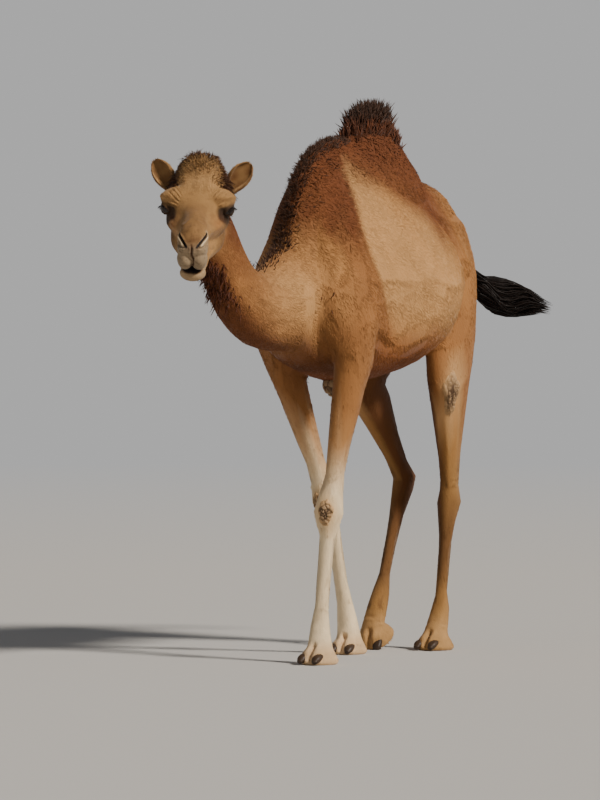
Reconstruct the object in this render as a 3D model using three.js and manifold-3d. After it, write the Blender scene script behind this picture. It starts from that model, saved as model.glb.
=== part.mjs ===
// A young adult dromedary, walking, with its head turned to its left to look at the viewer.
// Millimetres, +Z up. The camel faces -Y, so its own left side is +X. Places are written from the point
// on the ground under the middle of the trunk, and the whole group is then moved so that the origin
// lies on the ground under the middle of its bounding box.
import * as THREE from "three";
import { mergeVertices } from "three/addons/utils/BufferGeometryUtils.js";
import Module from "manifold-3d";

const wasm = await Module();
wasm.setup();

// ---- driving dimensions ----
const GAP = 0.4; // clearance between neighbouring pieces
const WITHERS_TOP = 1826;
const HUMP_TOP = 1880;
const HUMP_HAIR = 75; // length of the crest of dark hair on the hump
const ROUND_STEPS = 3; // rings in each rounded end

const HEAD_CENTRE = [-40, -1157, 1566]; // midway between the eyes
const HEAD_YAW = 23.5; // degrees towards the camel's left
const HEAD_PITCH = 33; // degrees that the head's own axis slopes down
const HEAD_ROLL = 2;

const EYE_SPREAD = 98; // each eye's distance from the middle of the head
const EYE_RADIUS = 23;
const EAR_LENGTH = 120;

const PAD_LENGTH = 165; // a foot's sole, front to back
const PAD_WIDTH = 132;
const CLEFT_WIDTH = 9; // half the gap between the two toes, at their tips
const CLAW_LENGTH = 46;
const TOE_PITCH = 34; // degrees that the right hind foot tips onto its toes
const TOE_FLAT = 5; // how much of the tipped toes is flattened against the ground

const radians = THREE.MathUtils.degToRad;
const halfPad = PAD_LENGTH / 2;
const toeStand = (halfPad - 8) * Math.sin(radians(TOE_PITCH)) - TOE_FLAT;

// ---- placing and joining ----
const vec = (p) => new THREE.Vector3(...p);
const mix = (a, b, t) => a + (b - a) * t;
const mixed = (a, b, t) => a.map((v, i) => mix(v, b[i], t));
const power = (v, exponent) => Math.sign(v) * Math.abs(v) ** exponent;
const shifted = (point, normal, by) => vec(point).addScaledVector(vec(normal).normalize(), by).toArray();
const opposite = (normal) => normal.map((v) => -v);

function toSolid(geometry) {
  const bare = geometry.clone();
  for (const extra of ["normal", "uv"]) bare.deleteAttribute(extra);
  const merged = mergeVertices(bare, 1e-4);
  return new wasm.Manifold(
    new wasm.Mesh({
      numProp: 3,
      vertProperties: merged.attributes.position.array,
      triVerts: new Uint32Array(merged.index.array),
    }),
  );
}

function toGeometry(solid) {
  const mesh = solid.getMesh();
  const geometry = new THREE.BufferGeometry();
  geometry.setAttribute("position", new THREE.BufferAttribute(mesh.vertProperties, 3));
  geometry.setIndex(new THREE.BufferAttribute(mesh.triVerts, 1));
  return geometry;
}

const joined = (solids) => solids.reduce((whole, next) => whole.add(next));
const cutBy = (solid, cutters) => cutters.reduce((left, next) => left.subtract(next), solid);

// A block that fills everything on one side of the plane through `point`, which `normal` points into.
function halfSpace(point, normal, size = 9000) {
  const block = new THREE.BoxGeometry(size, size, size).translate(0, 0, size / 2);
  const upwards = new THREE.Vector3(0, 0, 1);
  const turn = new THREE.Quaternion().setFromUnitVectors(upwards, vec(normal).normalize());
  return toSolid(block.applyQuaternion(turn).translate(...point));
}

// ---- limbs: oval sections carried along a smooth path ----
// A station is { at, wide, front, back, pinch, facing }: the section's centre, its half width across the
// body, its depth to the front (the back of the animal, on the trunk, neck and head) and behind, how far
// the front side is narrower than the back side, and the way that its plane looks where this isn't along
// the path. A Catmull-Rom curve runs through each column.
function limb(stations, shape = {}) {
  const { sides = 14, steps = 2, side = [1, 0, 0], capStart = 0, capEnd = 0, square = 2.2, grow = 0 } = shape;
  const curve = (toPoint) =>
    new THREE.CatmullRomCurve3(stations.map((s) => vec(toPoint(s))), false, "catmullrom", 0.5);
  const path = curve((s) => s.at);
  const girth = curve((s) => [s.wide, s.front, s.back]);
  const lean = curve((s) => [s.pinch ?? 0, 0, 0]);
  const spans = stations.length - 1;
  const facings = stations.map((s, i) => (s.facing ? vec(s.facing) : path.getTangent(i / spans)));
  const facingAt = (t) => {
    const span = Math.min(Math.floor(t * spans + 1e-9), spans - 1);
    return facings[span].clone().lerp(facings[span + 1], t * spans - span).normalize();
  };

  const rings = [];
  const ringAt = (t, shrink, push) => {
    const along = facingAt(t);
    const across = vec(side).addScaledVector(along, -along.dot(vec(side))).normalize();
    const forward = new THREE.Vector3().crossVectors(along, across);
    const size = girth.getPoint(t);
    const pinch = lean.getPoint(t).x;
    const centre = path.getPoint(t).addScaledVector(along, push);
    rings.push(
      Array.from({ length: sides }, (_, i) => {
        const angle = (2 * Math.PI * i) / sides;
        const rise = power(Math.sin(angle), 2 / square);
        const depth = (rise > 0 ? size.y : size.z) + grow;
        const width = (size.x + grow) * (1 - pinch * Math.max(rise, 0));
        return centre
          .clone()
          .addScaledVector(across, shrink * width * power(Math.cos(angle), 2 / square))
          .addScaledVector(forward, shrink * depth * rise);
      }),
    );
  };

  for (let k = 0; k < (capStart ? ROUND_STEPS : 0); k++) {
    const turn = (Math.PI / 2) * ((k + 0.3) / ROUND_STEPS);
    ringAt(0, Math.sin(turn), -(capStart + grow) * Math.cos(turn));
  }
  const count = spans * steps;
  for (let k = 0; k <= count; k++) ringAt(k / count, 1, 0);
  for (let k = 1; k <= (capEnd ? ROUND_STEPS : 0); k++) {
    const turn = (Math.PI / 2) * ((k - 0.3) / ROUND_STEPS);
    ringAt(1, Math.cos(turn), (capEnd + grow) * Math.sin(turn));
  }

  const middle = (ring) => ring.reduce((sum, p) => sum.add(p), new THREE.Vector3()).divideScalar(sides);
  const points = [middle(rings[0]), ...rings.flat(), middle(rings.at(-1))];
  const faces = [];
  const id = (ring, i) => 1 + ring * sides + (i % sides);
  for (let i = 0; i < sides; i++) {
    faces.push(0, id(0, i + 1), id(0, i));
    faces.push(points.length - 1, id(rings.length - 1, i), id(rings.length - 1, i + 1));
    for (let r = 0; r + 1 < rings.length; r++) {
      faces.push(id(r, i), id(r, i + 1), id(r + 1, i));
      faces.push(id(r, i + 1), id(r + 1, i + 1), id(r + 1, i));
    }
  }
  const geometry = new THREE.BufferGeometry().setFromPoints(points);
  geometry.setIndex(faces);
  return toSolid(geometry);
}

// ---- trunk: the path runs forward along the body, so "front" is up and "back" is down ----
// name, place along the body, top line, underside, half width, how much narrower the top is
const TRUNK_SECTIONS = [
  ["tail root", 692, 1430, 1310, 58, 0.1],
  ["pin bones", 640, 1545, 1262, 118, 0.26],
  ["croup", 545, 1650, 1196, 160, 0.36],
  ["hips", 440, 1685, 1150, 192, 0.42],
  ["loin", 320, 1702, 1085, 236, 0.45],
  ["rear ribs", 190, 1720, 1022, 288, 0.48],
  ["middle ribs", 40, 1750, 982, 304, 0.5],
  ["front ribs", -110, 1800, 962, 284, 0.52],
  ["girth", -240, WITHERS_TOP, 960, 246, 0.54],
  ["shoulder", -360, WITHERS_TOP - 24, 984, 216, 0.56],
  ["withers", -470, 1738, 1004, 178, 0.62],
  ["neck set-on", -570, 1596, 1036, 140, 0.58],
  ["breast", -640, 1440, 1110, 100, 0.35],
];
const TRUNK_MIDDLE = 0.42; // where the widest level lies, between underside and top line
const trunkStations = TRUNK_SECTIONS.map(([, y, top, under, wide, pinch]) => {
  const middle = mix(under, top, TRUNK_MIDDLE);
  return { at: [0, y, middle], wide, front: top - middle, back: middle - under, pinch, facing: [0, -1, 0] };
});

// ---- hump: the path runs up, so "front" is towards the tail ----
// name, place along the body, height, half width, reach behind, reach ahead
const HUMP_SECTIONS = [
  ["foot of the hump", 60, 1540, 168, 290, 280],
  ["flank of the hump", 50, 1640, 150, 282, 265],
  ["shoulder of the hump", 30, 1740, 106, 214, 222],
  ["upper hump", 10, 1820, 84, 158, 182],
  ["lower hair", 0, HUMP_TOP - 10, 76, 144, 160],
  ["upper hair", -2, HUMP_TOP + 0.55 * HUMP_HAIR, 64, 134, 142],
  ["hair tips", -2, HUMP_TOP + HUMP_HAIR - 10, 38, 92, 94],
];
const humpStations = HUMP_SECTIONS.map(([, y, z, wide, behind, ahead]) => ({
  at: [0, y, z],
  wide,
  front: behind,
  back: ahead,
}));

// ---- neck: from inside the chest, forward and down, then up to the nape ----
// name, centre, half width, depth to the crest, depth to the throat
const NECK_SECTIONS = [
  ["inside the chest", [0, -470, 1320], 120, 180, 205],
  ["set-on", [0, -585, 1268], 120, 182, 200],
  ["base", [-2, -700, 1226], 108, 172, 156],
  ["bend", [-8, -828, 1222], 96, 142, 124],
  ["upper bend", [-18, -930, 1285], 88, 122, 112],
  ["middle", [-34, -985, 1385], 82, 106, 112],
  ["below the head", [-62, -1015, 1490], 80, 98, 112],
  ["nape", [-86, -1035, 1562], 78, 80, 100],
];
const neckStations = NECK_SECTIONS.map(([, at, wide, front, back]) => (
  { at, wide, front, back, pinch: 0.16 }
));

// ---- head: its own frame has its origin between the eyes, the face along -Y and the crown up ----
const headTurn = new THREE.Euler(radians(HEAD_PITCH), radians(HEAD_ROLL), radians(HEAD_YAW), "ZXY");
const headFrame = new THREE.Matrix4().makeRotationFromEuler(headTurn).setPosition(...HEAD_CENTRE);
const onHead = (p) => vec(p).applyMatrix4(headFrame).toArray();
const headSide = vec([1, 0, 0]).transformDirection(headFrame).toArray();

// name, distance ahead of the eyes, top line, underside, half width, how much narrower the top is
const SKULL_SECTIONS = [
  ["poll", -158, 72, -62, 80, 0.04],
  ["crown", -112, 86, -92, 92, 0.12],
  ["forehead", -62, 84, -104, 102, 0.18],
  ["brow", -18, 76, -108, 108, 0.22],
  ["eyes", 18, 66, -106, 108, 0.24],
  ["cheek", 58, 56, -98, 98, 0.28],
  ["nose bridge", 98, 54, -80, 74, 0.24],
  ["nose", 138, 58, -58, 58, 0.14],
  ["nostrils", 178, 60, -44, 54, 0.1],
  ["muzzle", 214, 50, -42, 53, 0.06],
  ["upper lip", 246, 26, -46, 50, 0],
];
const JAW_SECTIONS = [
  ["jaw joint", -10, -40, -138, 80, 0.1],
  ["jaw angle", 45, -50, -160, 84, 0.18],
  ["cheek teeth", 100, -40, -150, 68, 0.2],
  ["bars", 155, -28, -132, 54, 0.1],
  ["chin groove", 205, -26, -114, 47, 0],
  ["chin", 250, -40, -124, 43, 0],
];
const headStations = (sections) =>
  sections.map(([, ahead, top, under, wide, pinch]) => ({
    at: onHead([0, -ahead, (top + under) / 2]),
    wide,
    front: (top - under) / 2,
    back: (top - under) / 2,
    pinch,
  }));

// The forelock is a cap of hair on the poll: its path runs up from inside the skull.
const FORELOCK_SECTIONS = [
  ["roots", 4, 114, 20, 84, 66],
  ["lower hair", 8, 120, 70, 79, 63],
  ["upper hair", 11, 126, 100, 60, 52],
  ["tips", 12, 130, 115, 34, 34],
];
const forelockStations = FORELOCK_SECTIONS.map(([, left, behind, rise, wide, deep]) => ({
  at: onHead([left, behind, rise]),
  wide,
  front: deep,
  back: deep,
}));

// An ear is a leaf with a hollow front. Its own frame has the root at the origin, the tip up +Z and the
// hollow towards -Y; the left ear leans out to +X and the right one is its mirror image.
const EAR_PLACE = { out: 94, behind: 92, up: 62, lean: 36, tip: -7, turn: 12 };
const EAR_SECTIONS = [
  [-0.18, 17, 17],
  [0.12, 27, 19],
  [0.4, 38, 19],
  [0.68, 38, 15],
  [0.9, 24, 9],
];
const EAR_WALL = 6;
function ear(mirror, grow = 0) {
  const leaf = (thicker, scoop) =>
    limb(
      EAR_SECTIONS.map(([share, wide, deep]) => ({
        at: [0, share * 4 - scoop, share * EAR_LENGTH + scoop * 0.6],
        wide,
        front: deep,
        back: deep,
      })),
      { sides: 8, steps: 1, capEnd: 10, square: 2, grow: thicker },
    );
  const cup = toGeometry(grow ? leaf(grow, 0) : leaf(0, 0).subtract(leaf(-EAR_WALL, 13)));
  const { out, behind, up, lean, tip, turn } = EAR_PLACE;
  const upright = new THREE.Matrix4()
    .makeRotationFromEuler(new THREE.Euler(0, radians(HEAD_ROLL), radians(HEAD_YAW), "ZXY"))
    .setPosition(...HEAD_CENTRE);
  const own = new THREE.Matrix4()
    .makeRotationFromEuler(new THREE.Euler(radians(tip), radians(lean), radians(turn), "YXZ"))
    .setPosition(out, behind, up);
  cup.applyMatrix4(own);
  if (mirror < 0) {
    cup.scale(-1, 1, 1);
    const faces = cup.index.array;
    for (let i = 0; i < faces.length; i += 3) [faces[i + 1], faces[i + 2]] = [faces[i + 2], faces[i + 1]];
  }
  return toSolid(cup.applyMatrix4(upright));
}

// A ball or egg in the head's own frame: at `out` to one side, `ahead` of the eyes and `up`.
const egg = ([out, ahead, up], radii, mirror, rings = [10, 7]) =>
  toSolid(
    new THREE.SphereGeometry(1, ...rings)
      .scale(...radii)
      .translate(mirror * out, -ahead, up)
      .applyMatrix4(headFrame),
  );
const EYE_AT = [EYE_SPREAD, 12, 4];
const eyeBall = (mirror, grow = 0) => egg(EYE_AT, Array(3).fill(EYE_RADIUS + grow), mirror);
const ORBIT = { at: [80, -10, 24], radii: [50, 50, 40] }; // the bony ring and brow round each eye

// ---- legs: joints in the pose, and sections placed between them ----
const LEG_JOINTS = {
  foreleg_left: {
    top: [44, -395, 1590],
    shoulder: [140, -450, 1280],
    elbow: [162, -410, 1050],
    knee: [104, -478, 520],
    fetlock: [84, -505, 135],
    foot: [94, -524, 0],
  },
  foreleg_right: {
    top: [-44, -385, 1590],
    shoulder: [-138, -420, 1280],
    elbow: [-146, -345, 1050],
    knee: [-80, -130, 545],
    fetlock: [-74, -4, 150],
    foot: [-72, 18, 0],
  },
  hindleg_left: {
    top: [80, 490, 1520],
    shoulder: [110, 470, 1370],
    elbow: [150, 365, 960],
    knee: [117, 430, 530],
    fetlock: [106, 385, 140],
    foot: [104, 358, 0],
  },
  hindleg_right: {
    top: [-80, 490, 1520],
    shoulder: [-110, 455, 1370],
    elbow: [-150, 290, 955],
    knee: [-88, 478, 605],
    fetlock: [-105, 326, 192],
    foot: [-112, 318, toeStand],
  },
};

// name, joint above, joint below, share of the way down, half width, depth in front, depth behind
const FORELEG_SECTIONS = [
  ["shoulder blade", "top", "shoulder", 0, 34, 95, 105],
  ["shoulder", "top", "shoulder", 0.85, 66, 128, 128],
  ["upper arm", "shoulder", "elbow", 0.5, 76, 112, 122],
  ["elbow", "shoulder", "elbow", 1.0, 66, 80, 94],
  ["forearm top", "elbow", "knee", 0.18, 56, 64, 68],
  ["forearm", "elbow", "knee", 0.44, 44, 50, 48],
  ["lower forearm", "elbow", "knee", 0.74, 35, 38, 36],
  ["above the knee", "elbow", "knee", 0.9, 46, 44, 38],
  ["knee", "elbow", "knee", 1.0, 56, 52, 42],
  ["below the knee", "knee", "fetlock", 0.14, 38, 38, 37],
  ["cannon", "knee", "fetlock", 0.32, 27, 27, 29],
  ["lower cannon", "knee", "fetlock", 0.78, 26, 25, 28],
  ["fetlock", "knee", "fetlock", 1.0, 36, 33, 36],
];
const HINDLEG_SECTIONS = [
  ["pelvis", "top", "shoulder", 0, 58, 100, 100],
  ["hip", "top", "shoulder", 1, 76, 150, 132],
  ["thigh", "shoulder", "elbow", 0.4, 76, 160, 152],
  ["lower thigh", "shoulder", "elbow", 0.75, 72, 140, 140],
  ["stifle", "shoulder", "elbow", 1.0, 64, 118, 112],
  ["gaskin", "elbow", "knee", 0.25, 57, 78, 90],
  ["lower gaskin", "elbow", "knee", 0.6, 41, 46, 60],
  ["above the hock", "elbow", "knee", 0.85, 32, 34, 58],
  ["hock", "elbow", "knee", 1.0, 43, 40, 58],
  ["below the hock", "knee", "fetlock", 0.17, 34, 33, 41],
  ["cannon", "knee", "fetlock", 0.4, 23, 24, 27],
  ["lower cannon", "knee", "fetlock", 0.78, 22, 23, 26],
  ["fetlock", "knee", "fetlock", 1.0, 36, 33, 35],
];
const isFore = (leg) => leg.startsWith("fore");

// Where each leg is parted from the trunk: a leaning plane that the leg hangs below.
const LEG_PARTING = {
  fore: { point: [0, -400, 1075], normal: [0, -0.25, -1] },
  hind: { point: [0, 470, 1225], normal: [0, 0.5, -0.87] },
};

// ---- feet: a broad pad with two toes. The foot's own frame has the sole's middle at the origin ----
const FOOT_TURN = {
  foreleg_left: { yaw: -4, pitch: 0 },
  foreleg_right: { yaw: 4, pitch: 0 },
  hindleg_left: { yaw: -6, pitch: 0 },
  hindleg_right: { yaw: 4, pitch: TOE_PITCH },
};
// name, height, shift forward, half width, reach ahead, reach behind
const PAD_SECTIONS = [
  ["top of the pad", 64, 2, 46, 46, 46],
  ["bulge", 36, 4, 58, 68, 58],
  ["rim", 12, 0, PAD_WIDTH / 2, halfPad, halfPad - 14],
  ["sole", 0, 0, PAD_WIDTH / 2 - 6, halfPad - 7, halfPad - 22],
];

function footFrame(leg) {
  const { yaw, pitch } = FOOT_TURN[leg];
  return new THREE.Matrix4()
    .makeRotationFromEuler(new THREE.Euler(radians(pitch), 0, radians(yaw), "ZXY"))
    .setPosition(...LEG_JOINTS[leg].foot);
}

function legSolid(leg, grow = 0) {
  const joints = LEG_JOINTS[leg];
  const frame = footFrame(leg);
  const facing = vec([0, 0, -1]).transformDirection(frame).toArray();
  const bones = (isFore(leg) ? FORELEG_SECTIONS : HINDLEG_SECTIONS).map(
    ([, above, below, share, wide, front, back]) => ({
      at: mixed(joints[above], joints[below], share),
      wide,
      front,
      back,
    }),
  );
  const pad = PAD_SECTIONS.map(([, up, ahead, wide, front, back]) => ({
    at: vec([0, -ahead, up]).applyMatrix4(frame).toArray(),
    wide,
    front,
    back,
    facing,
  }));
  return limb([...bones, ...pad], { sides: 10, steps: 1, capStart: 50, grow });
}

// The wedge that parts the two toes at the front.
function cleft(leg) {
  const outline = new THREE.Shape();
  outline.moveTo(-CLEFT_WIDTH, -halfPad - 20);
  outline.lineTo(CLEFT_WIDTH, -halfPad - 20);
  outline.lineTo(CLEFT_WIDTH / 4, -halfPad + 52);
  outline.lineTo(-CLEFT_WIDTH / 4, -halfPad + 52);
  const wedge = new THREE.ExtrudeGeometry(outline, { depth: 80, bevelEnabled: false });
  return toSolid(wedge.translate(0, 0, -20).applyMatrix4(footFrame(leg)));
}

function claw(leg, mirror, grow = 0) {
  const shape = new THREE.SphereGeometry(1, 7, 5)
    .scale(17 + grow, CLAW_LENGTH / 2 + grow, 15 + grow)
    .rotateX(radians(30))
    .translate(mirror * 29, -halfPad + 12, 19)
    .applyMatrix4(footFrame(leg));
  return toSolid(shape);
}

// ---- tail: a thin root that hangs over the rump, and a brush of hair flicked to the left ----
const TAIL_STATIONS = [
  { at: [0, 660, 1412], wide: 42, front: 38, back: 38 },
  { at: [8, 722, 1370], wide: 30, front: 28, back: 28 },
  { at: [34, 768, 1322], wide: 22, front: 22, back: 22 },
  { at: [70, 800, 1290], wide: 18, front: 18, back: 18 },
];
const BRUSH_STATIONS = [
  { at: [38, 776, 1326], wide: 34, front: 58, back: 58 },
  { at: [86, 806, 1290], wide: 38, front: 72, back: 72 },
  { at: [160, 836, 1257], wide: 38, front: 66, back: 62 },
  { at: [230, 852, 1243], wide: 32, front: 54, back: 48 },
  { at: [292, 865.3, 1227], wide: 14, front: 26, back: 20 },
];

// ---- solids ----
const ground = halfSpace([0, 0, 0], [0, 0, -1]);
const legNames = Object.keys(LEG_JOINTS);
const sides = [["left", 1], ["right", -1]];

const skullShape = { sides: 16, steps: 1, side: headSide, capStart: 34, capEnd: 26 };
const jawShape = { sides: 12, steps: 1, side: headSide, capStart: 26, capEnd: 26 };
const skullStations = headStations(SKULL_SECTIONS);
const jawStations = headStations(JAW_SECTIONS);
const skullGrown = limb(skullStations, { ...skullShape, grow: GAP });
const jawGrown = limb(jawStations, { ...jawShape, grow: GAP });

const tailShape = { sides: 10, steps: 1, capStart: 30, capEnd: 14 };
const tailGrown = limb(TAIL_STATIONS, { ...tailShape, grow: GAP });

const legs = new Map();
for (const leg of legNames) {
  const { point, normal } = LEG_PARTING[isFore(leg) ? "fore" : "hind"];
  const whole = legSolid(leg);
  legs.set(leg, {
    inside: whole.intersect(halfSpace(point, opposite(normal))),
    hanging: whole.intersect(halfSpace(point, normal)),
    pocket: legSolid(leg, GAP).intersect(halfSpace(shifted(point, normal, -GAP), normal)),
  });
}

const torso = joined([
  limb(trunkStations, { sides: 18, steps: 1, capStart: 40, capEnd: 40 }),
  limb(humpStations, { sides: 14, steps: 1, capEnd: 12, capStart: 40 }),
  limb(neckStations, { sides: 14, steps: 2, capStart: 40, capEnd: 20 }),
  ...legNames.map((leg) => legs.get(leg).inside),
]);

// The pad of horny skin under the breastbone, which the camel lies on.
const CHEST_PAD = { at: [0, -200, 958], half: [54, 84, 50] };
const chestPad = (grow) =>
  toSolid(
    new THREE.SphereGeometry(1, 12, 8)
      .scale(...CHEST_PAD.half.map((half) => half + grow))
      .translate(...CHEST_PAD.at),
  );

// The neck is parted from the trunk along a leaning plane in front of the shoulders, and the hump is
// parted along level ones, below it and below the crest of hair on its top.
const NECK_PARTING = { point: [0, -625, 1290], normal: [0, -1, 0.12] };
const HUMP_PARTING = { point: [0, 0, 1762], normal: [0, 0, 1] };
const HUMP_FRONT = { point: [0, -185, 0], normal: [0, 1, 0] };
const CREST_PARTING = { point: [0, 0, HUMP_TOP - 42], normal: [0, 0, 1] };
const ahead = halfSpace(shifted(NECK_PARTING.point, NECK_PARTING.normal, GAP), NECK_PARTING.normal);
const humpAndHair = halfSpace(shifted(HUMP_PARTING.point, HUMP_PARTING.normal, GAP), HUMP_PARTING.normal)
  .intersect(halfSpace(HUMP_FRONT.point, HUMP_FRONT.normal));
const humpPocket = halfSpace(HUMP_PARTING.point, HUMP_PARTING.normal).intersect(
  halfSpace(shifted(HUMP_FRONT.point, HUMP_FRONT.normal, -GAP), HUMP_FRONT.normal),
);
const hairPocket = halfSpace(CREST_PARTING.point, CREST_PARTING.normal);
const hairBlock = halfSpace(shifted(CREST_PARTING.point, CREST_PARTING.normal, GAP), CREST_PARTING.normal);

const body = cutBy(torso, legNames.map((leg) => legs.get(leg).pocket));
const rump = cutBy(body, [tailGrown]);

const parts = new Map();
parts.set("trunk", cutBy(rump, [halfSpace(NECK_PARTING.point, NECK_PARTING.normal), humpPocket, chestPad(GAP)]));
parts.set("hump", rump.intersect(humpAndHair).subtract(hairPocket));
parts.set("hump_crest", rump.intersect(hairBlock));
parts.set("chest_pad", chestPad(0));
parts.set("neck", cutBy(body.intersect(ahead), [skullGrown, jawGrown]));
const forelockShape = { sides: 12, steps: 1, side: headSide, capStart: 10, capEnd: 6 };
const earsGrown = sides.map(([, mirror]) => ear(mirror, GAP));
const orbits = sides.map(([, mirror]) => egg(ORBIT.at, ORBIT.radii, mirror));
const eyesGrown = sides.map(([, mirror]) => eyeBall(mirror, GAP));
parts.set("head", cutBy(joined([limb(skullStations, skullShape), ...orbits]), eyesGrown));
parts.set("forelock", cutBy(limb(forelockStations, forelockShape), [skullGrown, ...earsGrown]));
parts.set("lower_jaw", cutBy(limb(jawStations, jawShape), [skullGrown]));
for (const [name, mirror] of sides) {
  parts.set(`ear_${name}`, cutBy(ear(mirror), [skullGrown]));
  parts.set(`eye_${name}`, eyeBall(mirror));
}
parts.set("tail", limb(TAIL_STATIONS, tailShape));
const brushShape = { sides: 10, steps: 1, capStart: 26, capEnd: 24 };
parts.set("tail_brush", cutBy(limb(BRUSH_STATIONS, brushShape), [tailGrown]));

// Each leg is modelled whole with its pad and parted across its joints.
const FORELEG_LENGTHS = [["forearm", "knee", 0], ["cannon", "fetlock", 5]];
const HINDLEG_LENGTHS = [["thigh", "elbow", -20], ["gaskin", "knee", 0], ["cannon", "fetlock", 5]];
for (const leg of legNames) {
  const joints = LEG_JOINTS[leg];
  let rest = cutBy(legs.get(leg).hanging, [ground, cleft(leg)]);
  const order = Object.keys(joints);
  for (const [length, joint, below] of isFore(leg) ? FORELEG_LENGTHS : HINDLEG_LENGTHS) {
    const above = joints[order[order.indexOf(joint) - 1]];
    const down = vec(joints[joint]).sub(vec(above)).normalize().toArray();
    const cut = shifted(joints[joint], down, below);
    parts.set(`${leg}_${length}`, rest.intersect(halfSpace(cut, opposite(down))));
    rest = rest.intersect(halfSpace(shifted(cut, down, GAP), down));
  }
  parts.set(`${leg}_foot`, cutBy(rest, [claw(leg, 1, GAP), claw(leg, -1, GAP)]));
  for (const [name, mirror] of sides) parts.set(`${leg}_claw_${name}`, claw(leg, mirror).subtract(ground));
}

// ---- the scene graph ----
const finish = (color, roughness) => new THREE.MeshStandardMaterial({ color, roughness, metalness: 0 });
const MATERIALS = {
  coat: finish(0xb98a5c, 0.9),
  pale: finish(0xd8c4a0, 0.9),
  hair: finish(0x2f1c12, 0.95),
  horn: finish(0x4a4039, 0.6),
  eye: finish(0x1a100a, 0.1),
};
function materialFor(name) {
  if (name.startsWith("eye")) return MATERIALS.eye;
  if (name.includes("claw") || name === "chest_pad") return MATERIALS.horn;
  if (name.includes("crest") || name.includes("brush") || name === "forelock") return MATERIALS.hair;
  if (name.startsWith("foreleg") && !name.includes("forearm")) return MATERIALS.pale;
  return MATERIALS.coat;
}

// Puts the named pieces in a group whose own frame is `frame`, so that each is placed by its group.
function placed(frame, names, groups = []) {
  const group = new THREE.Group();
  group.applyMatrix4(frame);
  const back = frame.clone().invert();
  for (const name of names) {
    const mesh = new THREE.Mesh(toGeometry(parts.get(name)).applyMatrix4(back), materialFor(name));
    mesh.name = name;
    group.add(mesh);
  }
  for (const inner of groups) {
    inner.applyMatrix4(back);
    group.add(inner);
  }
  return group;
}
const at = (point) => new THREE.Matrix4().setPosition(...point);
const startingWith = (...starts) => [...parts.keys()].filter((name) => starts.some((s) => name.startsWith(s)));

const legGroups = legNames.map((leg) => {
  const foot = placed(footFrame(leg), startingWith(`${leg}_foot`, `${leg}_claw`));
  const lengths = startingWith(leg).filter((name) => !/foot|claw/.test(name));
  return placed(at(LEG_JOINTS[leg].shoulder), lengths, [foot]);
});
const headGroup = placed(headFrame, startingWith("head", "forelock", "lower_jaw", "ear", "eye"));
const tailGroup = placed(at(TAIL_STATIONS[1].at), startingWith("tail"));
const torsoNames = startingWith("trunk", "hump", "chest_pad", "neck");
const torsoGroup = placed(at(CHEST_PAD.at), torsoNames);
const camel = placed(at([0, 0, 0]), [], [torsoGroup, headGroup, tailGroup, ...legGroups]);

const bounds = new THREE.Box3().setFromObject(camel, true);
const middle = bounds.getCenter(new THREE.Vector3());
camel.position.set(-middle.x, -middle.y, -bounds.min.z);
export default camel;
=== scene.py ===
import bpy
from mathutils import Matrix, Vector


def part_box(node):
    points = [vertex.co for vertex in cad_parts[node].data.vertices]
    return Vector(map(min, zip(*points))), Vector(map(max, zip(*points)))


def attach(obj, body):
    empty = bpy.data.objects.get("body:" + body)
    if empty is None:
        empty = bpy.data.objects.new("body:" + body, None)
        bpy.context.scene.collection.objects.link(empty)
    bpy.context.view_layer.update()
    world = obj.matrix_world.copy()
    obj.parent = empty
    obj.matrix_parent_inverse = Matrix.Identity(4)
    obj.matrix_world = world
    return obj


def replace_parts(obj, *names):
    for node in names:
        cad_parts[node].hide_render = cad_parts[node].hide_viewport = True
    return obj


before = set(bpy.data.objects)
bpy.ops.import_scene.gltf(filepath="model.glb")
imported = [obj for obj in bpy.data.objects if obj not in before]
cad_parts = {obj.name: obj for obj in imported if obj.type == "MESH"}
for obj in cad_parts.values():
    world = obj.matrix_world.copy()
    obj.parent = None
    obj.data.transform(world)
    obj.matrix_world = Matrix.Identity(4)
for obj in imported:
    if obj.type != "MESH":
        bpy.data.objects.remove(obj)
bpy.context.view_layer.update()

import math

import bpy
import numpy as np
from mathutils import Matrix, Vector
from mathutils.bvhtree import BVHTree

# The camel's own frame: metres, +Z up, head towards -Y, its left side +X, origin on the ground under
# the middle of the trunk. Each piece is moved, as its mesh is made, to where the breast pad stands.
padLow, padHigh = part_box("chest_pad")
breastPadAt = np.array([0.0, -0.2, 0.958])
move = (np.array(padLow) + np.array(padHigh)) / 2 - breastPadAt
move[2] = 0

chance = np.random.default_rng(11)

# depth of the coat: the skin lies this far inside the solids
coatDepth = {"trunk": 0.009, "hump": 0.012, "neck": 0.009, "leg": 0.004, "head": 0.004, "tail": 0.006}
voxel = 0.0115  # of the remesh that joins the limbs
headBall = (np.array([-0.02, -1.19, 1.57]), 0.315, 4.0)  # centre, radius, and how much finer its mesh is
footBall, eyeBall = (0.115, 2.0), (0.05, 1.4)  # radius, gain

# head
headCentre = np.array([-0.040, -1.157, 1.566])
headYaw, headPitch, headRoll = 23.5, 33.0, 2.0
eyeOut, eyeAhead, eyeRise, eyeRadius = 0.098, 0.012, 0.004, 0.023
earLength = 0.120

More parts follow.
